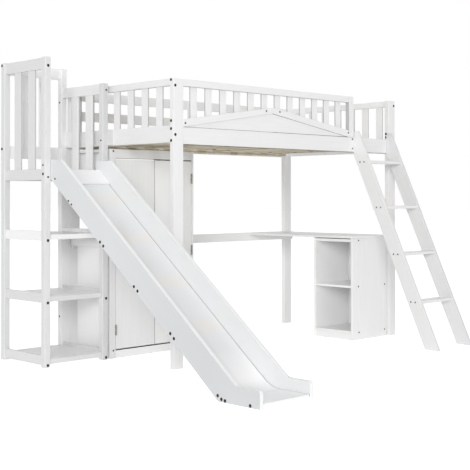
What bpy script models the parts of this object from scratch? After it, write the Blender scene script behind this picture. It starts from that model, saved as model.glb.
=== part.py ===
"""A high single bed with a slide tower, wardrobe, desk, cabinet and ladder.

The frame has X along the bed, Y from its front to its back and Z up, in metres.
The origin is on the floor under the middle of the front left bed post. The
pieces are laid out from the outer corner of that post and hang on one empty.
"""

import math

import bmesh
import bpy

# Clearances and edges
FIT = 0.0003
EDGE = 0.002
SLAT_EDGE = 0.0015
EDGE_DEGREES = 40
TENON = 0.010

# Bed posts and rails
BED_LENGTH = 2.116
BED_WIDTH = 1.046
POST_FACE = 0.074
POST_DEPTH = 0.036
RAIL_BASE = 1.302
RAIL_HEIGHT = 0.099
RAIL_THICK = 0.025
RAIL_INSET = 0.006
RAIL_TOP = RAIL_BASE + RAIL_HEIGHT
END_RAIL_LIFT = 0.008
END_RAIL_BASE = RAIL_BASE + END_RAIL_LIFT
GUARD_RISE = 0.279
POST_TOP = RAIL_TOP + GUARD_RISE

# Slatted base of the mattress
CLEAT_HEIGHT = 0.024
CLEAT_THICK = 0.022
BED_SLAT_COUNT = 12
BED_SLAT_WIDTH = 0.070
BED_SLAT_THICK = 0.016
BED_SLAT_MARGIN = 0.060

# Guards of the bed
GUARD_RAIL_HEIGHT = 0.041
GUARD_RAIL_THICK = 0.029
GUARD_RAIL_INSET = 0.004
GUARD_SLAT_THICK = 0.012
FRONT_SLAT_INSET = 0.0186
FRONT_SLAT_COUNT = 12
FRONT_SLAT_WIDTH = 0.052
FRONT_LEFT_MARGIN = 0.0547
FRONT_RIGHT_MARGIN = 0.0913
GUARD_END_WIDTH = 0.044
END_SLAT_COUNT = 7
END_SLAT_WIDTH = 0.057
LEFT_FRONT_MARGIN = 0.0582
LEFT_BACK_MARGIN = 0.0362
RIGHT_FRONT_MARGIN = 0.0800
RIGHT_BACK_MARGIN = 0.0564
BACK_BOARD_HEIGHT = 0.062
BACK_BOARD_THICK = 0.016
BACK_BOARD_INSET = 0.014
BACK_TOP_BASE = POST_TOP - BACK_BOARD_HEIGHT
BACK_MID_LIFT = 0.086
BACK_MID_BASE = RAIL_TOP + BACK_MID_LIFT
BACK_STILE_WIDTH = 0.060
BACK_STILE_THICK = 0.014
BACK_STILE_LAP = 0.003
BACK_STILE_SHARE = 0.482

# Gable on the front guard
GABLE_EAVE_RISE = 0.045
GABLE_APEX_RISE = 0.156
GABLE_EAVE = RAIL_TOP + GABLE_EAVE_RISE
GABLE_APEX = RAIL_TOP + GABLE_APEX_RISE
GABLE_BAND = 0.043
GABLE_BAND_THICK = 0.009
GABLE_FIELD_THICK = 0.008
GABLE_INSET = 0.001
GABLE_FIELD_SETBACK = 0.003

# Slide tower
TOWER_GAP = 0.033
TOWER_WIDTH = 0.460
TOWER_DEPTH = 0.473
TOWER_RIGHT = -TOWER_GAP
TOWER_LEFT = TOWER_RIGHT - TOWER_WIDTH
TOWER_FRONT = BED_WIDTH - TOWER_DEPTH
TOWER_POST = 0.040
TOWER_RISE = 0.1345
TOWER_TOP = POST_TOP + TOWER_RISE
TOWER_SHORT_RISE = 0.010
TOWER_SHORT_TOP = POST_TOP + TOWER_SHORT_RISE
TOWER_RAIL_HEIGHT = 0.067
TOWER_RAIL_THICK = 0.022
TOWER_RAIL_DROP = 0.003
TOWER_SLAT_WIDTH = 0.068
TOWER_SLAT_THICK = 0.012
TOWER_SLAT_FIRST = 0.0887
TOWER_SLAT_PITCH = 0.1485
TOWER_RIGHT_RAIL_HEIGHT = 0.062
TOWER_RIGHT_RAIL_TOP = TOWER_SHORT_TOP - EDGE
TOWER_BACK_SLAT_WIDTH = 0.044
TOWER_BACK_SLAT_FIRST = 0.1097
TOWER_BACK_SLAT_PITCH = 0.128
TOWER_SLAT_COUNT = 2
PLATFORM_DROP = 0.144
PLATFORM_TOP = RAIL_BASE - PLATFORM_DROP
TOWER_BACK_RAIL_LIFT = 0.075
TOWER_BACK_RAIL_BASE = PLATFORM_TOP + TOWER_BACK_RAIL_LIFT
TOWER_BACK_RAIL_HEIGHT = 0.076
PLATFORM_THICK = 0.018
PLATFORM_RAIL_HEIGHT = 0.064
SPACER_SIZE = 0.100
SHELF_SIDE_HEIGHT = 0.058
SHELF_SIDE_THICK = 0.018
SHELF_BOARD_THICK = 0.030
SHELF_RISE = 0.007
SHELF_LOWEST = 0.012
SHELF_SPACING = 0.363
SHELF_COUNT = 3

# Slide
SLIDE_SIDE_THICK = 0.022
SLIDE_WIDTH = 0.149
SLIDE_HEAD_RISE = 0.053
SLIDE_HEAD_TOP = PLATFORM_TOP + SLIDE_HEAD_RISE
SLIDE_HEAD_BASE = PLATFORM_TOP - PLATFORM_RAIL_HEIGHT
SLIDE_HEAD_REACH = 0.0975
SLIDE_SLOPE_RUN = 1.000
SLIDE_SLOPE_RISE = 0.778
SLIDE_FOOT_TOP = 0.090
SLIDE_FOOT_LENGTH = 0.157
SLIDE_CORNER = 0.018
SLIDE_HEAD_CORNER = 0.030
SLIDE_DECK_DEPTH = 0.114
SLIDE_DECK_THICK = 0.010
SLIDE_FOOT_DECK = 0.026
SLIDE_BEND = 0.180
SLIDE_DECK_SETBACK = 0.006
SLIDE_KERB_THICK = 0.012
SLIDE_PLATE_LENGTH = 0.158
SLIDE_PLATE_THICK = 0.012
SLIDE_BATTEN_WIDTH = 0.060
SLIDE_BATTEN_THICK = 0.020
SLIDE_BATTEN_LAP = 0.002
SLIDE_BATTEN_FIRST = 0.325
SLIDE_BATTEN_PITCH = 0.360
SLIDE_BATTEN_COUNT = 5

# Ladder
LADDER_WIDTH = 0.3914
LADDER_RIGHT = BED_LENGTH - POST_FACE - FIT
LADDER_LEFT = LADDER_RIGHT - LADDER_WIDTH
GUARD_END_CLEARANCE = 0.006
GUARD_END = LADDER_LEFT - GUARD_END_CLEARANCE - GUARD_END_WIDTH
STRINGER_THICK = 0.022
STRINGER_WIDTH = 0.101
STRINGER_FOOT = -0.575
STRINGER_SLOPE_RUN = 0.453
STRINGER_SLOPE_RISE = 1.000
STRINGER_RISE = 0.045
STRINGER_TOP = RAIL_TOP + STRINGER_RISE
TREAD_COUNT = 4
TREAD_FIRST = 0.312
TREAD_SPACING = 0.3093
TREAD_THICK = 0.020
TREAD_SETBACK = 0.008

# Wardrobe
WARDROBE_LAP = 0.019
WARDROBE_LEFT = -WARDROBE_LAP
WARDROBE_WIDTH = 0.694
WARDROBE_RIGHT = WARDROBE_LEFT + WARDROBE_WIDTH
WARDROBE_DEPTH = 0.372
WARDROBE_CLEARANCE = 0.012
WARDROBE_TOP = RAIL_BASE - WARDROBE_CLEARANCE
PANEL = 0.018
STILE_WIDTH = 0.045
STILE_DEPTH = 0.020
SIDE_LOW_TOP = 0.735
SIDE_HIGH_HEIGHT = 0.172
SIDE_RAIL_HEIGHT = 0.055
SIDE_RAIL_THICK = 0.014
SIDE_RAIL_DROP = 0.004
SIDE_PANEL_SETBACK = 0.001
SIDE_TENON = 0.007
BACK_PANEL = 0.006
FASCIA_HEIGHT = 0.057
FASCIA_BASE = WARDROBE_TOP - FASCIA_HEIGHT
FASCIA_INSET = 0.003
BASE_TOP = 0.066
PLINTH_INSET = 0.006
PLINTH_LAP = 0.001
WARDROBE_SHELF_TOP = 0.708
HANGING_RAIL_RADIUS = 0.0125
HANGING_RAIL_DROP = 0.070
HANGER_RADIUS = 0.008
HANGER_INSET = 0.060
DOOR_GAP = 0.003
DOOR_BASE = 0.052

# Hinges of the doors
HINGE_RADIUS = 0.0045
HINGE_PROUD = 0.0050
HINGE_LENGTH = 0.065
HINGE_LEAF_WIDTH = 0.008
HINGE_LEAF_THICK = 0.0015
HINGE_BASE_CLEARANCE = 0.123
HINGE_TOP_CLEARANCE = 0.118
HINGE_COUNT = 3
HINGE_SIDES = 16
HINGE_KNUCKLES = 3
HINGE_LEAF_SINK = 0.001
HINGE_TAB_SETBACK = 0.001

# Desk and cabinet
DESK_WIDTH = 0.4217
DESK_RIGHT = BED_LENGTH - POST_FACE - FIT
DESK_LEFT = DESK_RIGHT - DESK_WIDTH
DESK_TOP = 0.720
DESK_THICK = 0.015
DESK_FRONT = 0.001
STRETCHER_TOP = 0.722
STRETCHER_HEIGHT = 0.061
STRETCHER_THICK = 0.018
STRETCHER_END = 0.003
CABINET_WIDTH = 0.381
CABINET_CLEARANCE = 0.018
CABINET_RIGHT = DESK_RIGHT - CABINET_CLEARANCE
CABINET_LEFT = CABINET_RIGHT - CABINET_WIDTH
CABINET_FRONT = 0.015
CABINET_DEPTH = 0.349
CABINET_PANEL = 0.015
CABINET_TOP_DROP = 0.0107
CABINET_SHELF_TOP = 0.377
CABINET_BASE_TOP = 0.065
CABINET_PLINTH_INSET = 0.012

# Sides of round work
ARC_STEPS = 6
BEND_STEPS = 10

WHITE = (0.86, 0.86, 0.85, 1.0)
DECK_WHITE = (0.90, 0.90, 0.90, 1.0)
PINE = (0.72, 0.52, 0.31, 1.0)
HINGE_GREY = (0.10, 0.09, 0.08, 1.0)
TUBE_GREY = (0.62, 0.62, 0.63, 1.0)

FINISHES = {
    "paint": (WHITE, 0.42, 0.0),
    "deck": (DECK_WHITE, 0.18, 0.0),
    "pine": (PINE, 0.55, 0.0),
    "hinge": (HINGE_GREY, 0.35, 0.9),
    "tube": (TUBE_GREY, 0.25, 1.0),
}


def clear_scene():
    """Removes every object of the startup scene."""
    for found in list(bpy.data.objects):
        bpy.data.objects.remove(found, do_unlink=True)


def new_collection(name):
    """A collection linked to the scene."""
    made = bpy.data.collections.new(name)
    bpy.context.scene.collection.children.link(made)
    return made


def place_in(made, collection):
    """Moves an object into one collection."""
    for held in list(made.users_collection):
        held.objects.unlink(made)
    collection.objects.link(made)


def new_material(name, finish):
    """A Principled material of its own for one object."""
    colour, roughness, metallic = FINISHES[finish]
    made = bpy.data.materials.new(name + "_surface")
    made.use_nodes = True
    shader = made.node_tree.nodes["Principled BSDF"]
    shader.inputs["Base Color"].default_value = colour
    shader.inputs["Roughness"].default_value = roughness
    shader.inputs["Metallic"].default_value = metallic
    return made


def soften(made, width):
    """A narrow chamfer on the edges of a board."""
    bevel = made.modifiers.new("edges", "BEVEL")
    bevel.width = width
    bevel.segments = 1
    bevel.limit_method = "ANGLE"
    bevel.angle_limit = math.radians(EDGE_DEGREES)


def box(name, low, high, width):
    """A chamfered board between two opposite corners."""
    centre = [(a + b) / 2 for a, b in zip(low, high)]
    size = [b - a for a, b in zip(low, high)]
    bpy.ops.mesh.primitive_cube_add(size=size[0], location=centre)
    made = bpy.context.object
    made.name = name
    made.scale = [side / size[0] for side in size]
    bpy.ops.object.transform_apply(location=False, rotation=False, scale=True)
    if width:
        soften(made, width)
    return made


def profile(name, points, low, high, across):
    """A flat outline of (along, up) points, filled and given thickness along X or Y."""
    curve = bpy.data.curves.new(name + "_outline", "CURVE")
    curve.dimensions = "2D"
    curve.fill_mode = "BOTH"
    curve.extrude = (high - low) / 2
    line = curve.splines.new("POLY")
    line.points.add(len(points) - 1)
    for point, (along, up) in zip(line.points, points):
        point.co = (along, up, 0, 1)
    line.use_cyclic_u = True
    drawn = bpy.data.objects.new(name + "_drawn", curve)
    bpy.context.scene.collection.objects.link(drawn)
    graph = bpy.context.evaluated_depsgraph_get()
    mesh = bpy.data.meshes.new_from_object(drawn.evaluated_get(graph))
    bpy.data.objects.remove(drawn, do_unlink=True)
    shape = bmesh.new()
    shape.from_mesh(mesh)
    bmesh.ops.remove_doubles(shape, verts=shape.verts, dist=FIT / 10)
    middle = (low + high) / 2
    for vert in shape.verts:
        along, up, depth = vert.co
        vert.co = (middle + depth, along, up) if across == "X" else (along, middle + depth, up)
    bmesh.ops.recalc_face_normals(shape, faces=shape.faces)
    if shape.calc_volume(signed=True) < 0:
        bmesh.ops.reverse_faces(shape, faces=shape.faces)
    shape.to_mesh(mesh)
    shape.free()
    made = bpy.data.objects.new(name, mesh)
    bpy.context.scene.collection.objects.link(made)
    return made


def rod(name, radius, start, end, sides):
    """A closed round bar between two points."""
    delta = [b - a for a, b in zip(start, end)]
    length = math.sqrt(sum(d * d for d in delta))
    centre = [(a + b) / 2 for a, b in zip(start, end)]
    bpy.ops.mesh.primitive_cylinder_add(vertices=sides, radius=radius, depth=length, location=centre)
    made = bpy.context.object
    made.name = name
    if abs(delta[0]) > abs(delta[2]):
        made.rotation_euler = (0, math.radians(90), 0)
    bpy.ops.object.transform_apply(location=False, rotation=True, scale=False)
    for face in made.data.polygons:
        face.use_smooth = len(face.vertices) == 4
    return made


def join(made, pieces, tools):
    """Boolean unions of several pieces with the one that carries them."""
    for piece in pieces:
        place_in(piece, tools)
        piece.hide_render = True
        piece.display_type = "WIRE"
        union = made.modifiers.new("join_" + piece.name, "BOOLEAN")
        union.operation = "UNION"
        union.solver = "EXACT"
        union.object = piece


def finish(made, kind, parts):
    """Gives a piece its material and its place among the parts."""
    place_in(made, parts)
    made.data.materials.clear()
    made.data.materials.append(new_material(made.name, kind))
    return made


def arc(centre, radius, first, last, steps):
    """Points on an arc, angles in degrees."""
    angles = [math.radians(first + (last - first) * i / steps) for i in range(steps + 1)]
    return [(centre[0] + radius * math.cos(a), centre[1] + radius * math.sin(a)) for a in angles]


def bed_frame(parts, tools):
    """Posts, rails and the slatted base."""
    post_spots = {
        "post_front_left": (0, 0),
        "post_front_right": (BED_LENGTH - POST_FACE, 0),
        "post_back_left": (0, BED_WIDTH - POST_DEPTH),
        "post_back_right": (BED_LENGTH - POST_FACE, BED_WIDTH - POST_DEPTH),
    }
    for name, (x, y) in post_spots.items():
        made = box(name, (x, y, 0), (x + POST_FACE, y + POST_DEPTH, POST_TOP), EDGE)
        finish(made, "paint", parts)
    left = POST_FACE + FIT
    right = BED_LENGTH - POST_FACE - FIT
    front = RAIL_INSET
    back = BED_WIDTH - RAIL_INSET
    made = box("side_rail_front", (left, front, RAIL_BASE), (right, front + RAIL_THICK, RAIL_TOP), EDGE)
    finish(made, "paint", parts)
    made = box("side_rail_back", (left, back - RAIL_THICK, RAIL_BASE), (right, back, RAIL_TOP), EDGE)
    finish(made, "paint", parts)
    near = POST_DEPTH + FIT
    far = BED_WIDTH - POST_DEPTH - FIT
    end_top = END_RAIL_BASE + RAIL_HEIGHT
    low = (RAIL_INSET, near, END_RAIL_BASE)
    made = box("end_rail_left", low, (RAIL_INSET + RAIL_THICK, far, end_top), EDGE)
    finish(made, "paint", parts)
    low = (BED_LENGTH - RAIL_INSET - RAIL_THICK, near, END_RAIL_BASE)
    made = box("end_rail_right", low, (BED_LENGTH - RAIL_INSET, far, end_top), EDGE)
    finish(made, "paint", parts)
    inner_front = front + RAIL_THICK + FIT
    inner_back = back - RAIL_THICK - FIT
    cleat_top = RAIL_BASE + CLEAT_HEIGHT
    low = (left + FIT, inner_front, RAIL_BASE)
    base = box("slatted_base", low, (right - FIT, inner_front + CLEAT_THICK, cleat_top), SLAT_EDGE)
    low = (left + FIT, inner_back - CLEAT_THICK, RAIL_BASE)
    pieces = [box("cleat_back", low, (right - FIT, inner_back, cleat_top), SLAT_EDGE)]
    span = BED_LENGTH - 2 * (POST_FACE + BED_SLAT_MARGIN) - BED_SLAT_WIDTH
    for i in range(BED_SLAT_COUNT):
        x = POST_FACE + BED_SLAT_MARGIN + span * i / (BED_SLAT_COUNT - 1)
        low = (x, inner_front + SLAT_EDGE, cleat_top - TENON)
        high = (x + BED_SLAT_WIDTH, inner_back - SLAT_EDGE, cleat_top + BED_SLAT_THICK)
        pieces.append(box(f"bed_slat_{i + 1}", low, high, 0))
    join(base, pieces, tools)
    finish(base, "pine", parts)


def guard_front(parts, tools):
    """Top rail, end post and slats of the front guard, which stand on the side rail."""
    left = POST_FACE + FIT
    low = (left, GUARD_RAIL_INSET, POST_TOP - GUARD_RAIL_HEIGHT)
    high = (GUARD_END + TENON, GUARD_RAIL_INSET + GUARD_RAIL_THICK, POST_TOP)
    rail = box("guard_front", low, high, EDGE)
    low = (GUARD_END, 0, RAIL_TOP + FIT)
    high = (GUARD_END + GUARD_END_WIDTH, POST_DEPTH, POST_TOP + FIT)
    pieces = [box("guard_end_post", low, high, EDGE)]
    span = GUARD_END - left - FRONT_LEFT_MARGIN - FRONT_RIGHT_MARGIN - FRONT_SLAT_WIDTH
    slat_top = POST_TOP - GUARD_RAIL_HEIGHT + TENON
    for i in range(FRONT_SLAT_COUNT):
        x = left + FRONT_LEFT_MARGIN + span * i / (FRONT_SLAT_COUNT - 1)
        low = (x, FRONT_SLAT_INSET, RAIL_TOP + FIT)
        high = (x + FRONT_SLAT_WIDTH, FRONT_SLAT_INSET + GUARD_SLAT_THICK, slat_top)
        pieces.append(box(f"front_slat_{i + 1}", low, high, SLAT_EDGE))
    join(rail, pieces, tools)
    finish(rail, "paint", parts)


def gable(parts):
    """The two raking boards and the field behind them."""
    left = POST_FACE + 2 * FIT
    right = GUARD_END - FIT
    middle = (left + right) / 2
    base = RAIL_TOP + FIT
    front = GABLE_INSET
    behind = front + GABLE_BAND_THICK
    inner_apex = GABLE_APEX - GABLE_BAND
    split = FIT / 2
    share = split / (middle - left)
    up_apex = GABLE_APEX - (GABLE_APEX - GABLE_EAVE) * share
    low_apex = inner_apex - (inner_apex - base) * share
    tip = middle - split
    points = [(left, base), (tip, low_apex), (tip, up_apex), (left, GABLE_EAVE)]
    finish(profile("gable_board_left", points, front, behind, "Y"), "paint", parts)
    tip = middle + split
    points = [(right, base), (right, GABLE_EAVE), (tip, up_apex), (tip, low_apex)]
    finish(profile("gable_board_right", points, front, behind, "Y"), "paint", parts)
    drop = GABLE_FIELD_SETBACK
    points = [
        (left, base),
        (right, base),
        (right, GABLE_EAVE - drop),
        (middle, GABLE_APEX - drop),
        (left, GABLE_EAVE - drop),
    ]
    start = behind + FIT
    finish(profile("gable_field", points, start, start + GABLE_FIELD_THICK, "Y"), "paint", parts)


def guard_end(name, outer, inward, margins, parts, tools):
    """Top rail and slats of one end guard, on its end rail."""
    rail_top = END_RAIL_BASE + RAIL_HEIGHT
    near = POST_DEPTH + FIT
    far = BED_WIDTH - POST_DEPTH - FIT
    ends = sorted([outer + inward * GUARD_RAIL_INSET, outer + inward * (GUARD_RAIL_INSET + GUARD_RAIL_THICK)])
    low = (ends[0], near, POST_TOP - GUARD_RAIL_HEIGHT)
    rail = box(name, low, (ends[1], far, POST_TOP + FIT), EDGE)
    middle = (ends[0] + ends[1]) / 2
    first, last = margins
    span = far - near - first - last - END_SLAT_WIDTH
    pieces = []
    for i in range(END_SLAT_COUNT):
        y = near + first + span * i / (END_SLAT_COUNT - 1)
        low = (middle - GUARD_SLAT_THICK / 2, y, rail_top + FIT)
        high = (middle + GUARD_SLAT_THICK / 2, y + END_SLAT_WIDTH, POST_TOP - GUARD_RAIL_HEIGHT + TENON)
        pieces.append(box(f"{name}_slat_{i + 1}", low, high, SLAT_EDGE))
    join(rail, pieces, tools)
    finish(rail, "paint", parts)


def guard_back(parts, tools):
    """Two long boards and one stile along the back."""
    left = POST_FACE + FIT
    right = BED_LENGTH - POST_FACE - FIT
    back = BED_WIDTH - BACK_BOARD_INSET
    front = back - BACK_BOARD_THICK
    low = (left, front, BACK_TOP_BASE)
    rail = box("guard_back", low, (right, back, BACK_TOP_BASE + BACK_BOARD_HEIGHT), EDGE)
    x = BED_LENGTH * BACK_STILE_SHARE
    low = (x, front - BACK_STILE_THICK + BACK_STILE_LAP, RAIL_TOP + FIT)
    high = (x + BACK_STILE_WIDTH, front + BACK_STILE_LAP, BACK_TOP_BASE + BACK_BOARD_HEIGHT)
    pieces = [box("guard_back_stile", low, high, SLAT_EDGE)]
    low = (left, front, BACK_MID_BASE)
    high = (right, back, BACK_MID_BASE + BACK_BOARD_HEIGHT)
    pieces.append(box("guard_back_mid", low, high, EDGE))
    join(rail, pieces, tools)
    finish(rail, "paint", parts)


def tower(parts, tools):
    """Four posts, three guards, the platform and three shelves."""
    back = BED_WIDTH - TOWER_POST
    right = TOWER_RIGHT - TOWER_POST
    spots = {
        "tower_post_front_left": (TOWER_LEFT, TOWER_FRONT, TOWER_TOP),
        "tower_post_back_left": (TOWER_LEFT, back, TOWER_TOP),
        "tower_post_front_right": (right, TOWER_FRONT, TOWER_SHORT_TOP),
        "tower_post_back_right": (right, back, TOWER_TOP),
    }
    for name, (x, y, top) in spots.items():
        made = box(name, (x, y, 0), (x + TOWER_POST, y + TOWER_POST, top), EDGE)
        if x == right:
            at_front = y == TOWER_FRONT
            start = y + EDGE if at_front else y + TOWER_POST - SPACER_SIZE - EDGE
            reach = RAIL_INSET - FIT if at_front else -FIT
            low = (TOWER_RIGHT - TENON, start, END_RAIL_BASE)
            high = (reach, start + SPACER_SIZE, END_RAIL_BASE + SPACER_SIZE)
            join(made, [box(name + "_spacer", low, high, SLAT_EDGE)], tools)
        finish(made, "paint", parts)
    near = TOWER_FRONT + TOWER_POST + FIT
    far = back - FIT
    inset = (TOWER_POST - TOWER_RAIL_THICK) / 2
    x = TOWER_LEFT + inset
    top = TOWER_TOP - TOWER_RAIL_DROP
    low = (x, near, top - TOWER_RAIL_HEIGHT)
    rail = box("tower_guard_left", low, (x + TOWER_RAIL_THICK, far, top), EDGE)
    low = (x, near, PLATFORM_TOP - PLATFORM_RAIL_HEIGHT)
    pieces = [box("tower_left_low_rail", low, (x + TOWER_RAIL_THICK, far, PLATFORM_TOP), EDGE)]
    middle = x + TOWER_RAIL_THICK / 2
    pieces += tower_slats("left", middle, near, PLATFORM_TOP - TENON, top - TOWER_RAIL_HEIGHT + TENON)
    join(rail, pieces, tools)
    finish(rail, "paint", parts)
    left_inner = TOWER_LEFT + TOWER_POST + FIT
    right_inner = right - FIT
    y = back + inset
    low = (left_inner, y, top - TOWER_RAIL_HEIGHT)
    rail = box("tower_guard_back", low, (right_inner, y + TOWER_RAIL_THICK, top), EDGE)
    low = (left_inner, y, TOWER_BACK_RAIL_BASE)
    high = (right_inner, y + TOWER_RAIL_THICK, TOWER_BACK_RAIL_BASE + TOWER_BACK_RAIL_HEIGHT)
    pieces = [box("tower_back_low_rail", low, high, EDGE)]
    middle = y + TOWER_RAIL_THICK / 2
    for i in range(TOWER_SLAT_COUNT):
        x = left_inner + TOWER_BACK_SLAT_FIRST + i * TOWER_BACK_SLAT_PITCH
        low = (x, middle - TOWER_SLAT_THICK / 2, TOWER_BACK_RAIL_BASE + TOWER_BACK_RAIL_HEIGHT - TENON)
        high = (x + TOWER_BACK_SLAT_WIDTH, middle + TOWER_SLAT_THICK / 2, top - TOWER_RAIL_HEIGHT + TENON)
        pieces.append(box(f"tower_back_slat_{i + 1}", low, high, SLAT_EDGE))
    join(rail, pieces, tools)
    finish(rail, "paint", parts)
    x = TOWER_RIGHT - inset - TOWER_RAIL_THICK
    rail_base = TOWER_RIGHT_RAIL_TOP - TOWER_RIGHT_RAIL_HEIGHT
    high = (TOWER_RIGHT - inset, far, TOWER_RIGHT_RAIL_TOP)
    rail = box("tower_guard_right", (x, near, rail_base), high, EDGE)
    low_top = PLATFORM_TOP - PLATFORM_THICK + TENON + FIT
    join(rail, tower_slats("right", x + TOWER_RAIL_THICK / 2, near, low_top, rail_base + TENON), tools)
    finish(rail, "paint", parts)
    platform(left_inner, right_inner, near, far, parts, tools)
    for i in range(SHELF_COUNT):
        shelf(i, left_inner, right_inner, near, far, parts, tools)


def tower_slats(side, middle, near, base, top):
    """The upright boards of a side guard, centred on the plane X = middle."""
    made = []
    for i in range(TOWER_SLAT_COUNT):
        y = near + TOWER_SLAT_FIRST + i * TOWER_SLAT_PITCH
        low = (middle - TOWER_SLAT_THICK / 2, y, base)
        high = (middle + TOWER_SLAT_THICK / 2, y + TOWER_SLAT_WIDTH, top)
        made.append(box(f"tower_{side}_slat_{i + 1}", low, high, SLAT_EDGE))
    return made


def platform(left, right, near, far, parts, tools):
    """The board at the head of the slide and the rails under it."""
    start = near + FIT
    low = (left, start, PLATFORM_TOP - PLATFORM_THICK)
    made = box("tower_platform", low, (right, far, PLATFORM_TOP), EDGE)
    base = PLATFORM_TOP - PLATFORM_RAIL_HEIGHT
    top = PLATFORM_TOP - PLATFORM_THICK + TENON
    inset = (TOWER_POST - TOWER_RAIL_THICK) / 2
    low = (left, BED_WIDTH - TOWER_POST + inset, base)
    high = (right, BED_WIDTH - inset, top)
    pieces = [box("platform_back_rail", low, high, EDGE)]
    low = (left, far - TENON, top - TENON)
    pieces.append(box("platform_back_lap", low, (right, BED_WIDTH - inset - EDGE, top), 0))
    low = (right - TENON, start, base)
    pieces.append(box("platform_right_rail", low, (TOWER_RIGHT - inset, far, top), EDGE))
    low = (left, start, base)
    pieces.append(box("platform_front_rail", low, (right, start + TOWER_RAIL_THICK, top), EDGE))
    join(made, pieces, tools)
    finish(made, "paint", parts)


def shelf(level, left, right, near, far, parts, tools):
    """One shelf with a raised rail at each side."""
    base = SHELF_LOWEST + level * SHELF_SPACING
    rise = base + SHELF_RISE
    inset = (TOWER_POST - SHELF_SIDE_THICK) / 2
    low = (TOWER_LEFT + inset, near, base)
    high = (TOWER_LEFT + inset + SHELF_SIDE_THICK, far, base + SHELF_SIDE_HEIGHT)
    made = box(f"tower_shelf_{level + 1}", low, high, EDGE)
    low = (TOWER_RIGHT - inset - SHELF_SIDE_THICK, near, base)
    high = (TOWER_RIGHT - inset, far, base + SHELF_SIDE_HEIGHT)
    pieces = [box(f"shelf_{level + 1}_side", low, high, EDGE)]
    low = (TOWER_LEFT + inset + SHELF_SIDE_THICK - EDGE, near, rise)
    high = (TOWER_RIGHT - inset - SHELF_SIDE_THICK + EDGE, far, rise + SHELF_BOARD_THICK)
    pieces.append(box(f"shelf_{level + 1}_board", low, high, 0))
    low = (left, TOWER_FRONT + inset, rise)
    pieces.append(box(f"shelf_{level + 1}_front", low, (right, near + TENON, rise + SHELF_BOARD_THICK), 0))
    low = (left, far - TENON, rise)
    high = (right, BED_WIDTH - inset, rise + SHELF_BOARD_THICK)
    pieces.append(box(f"shelf_{level + 1}_back", low, high, 0))
    join(made, pieces, tools)
    finish(made, "paint", parts)


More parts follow.
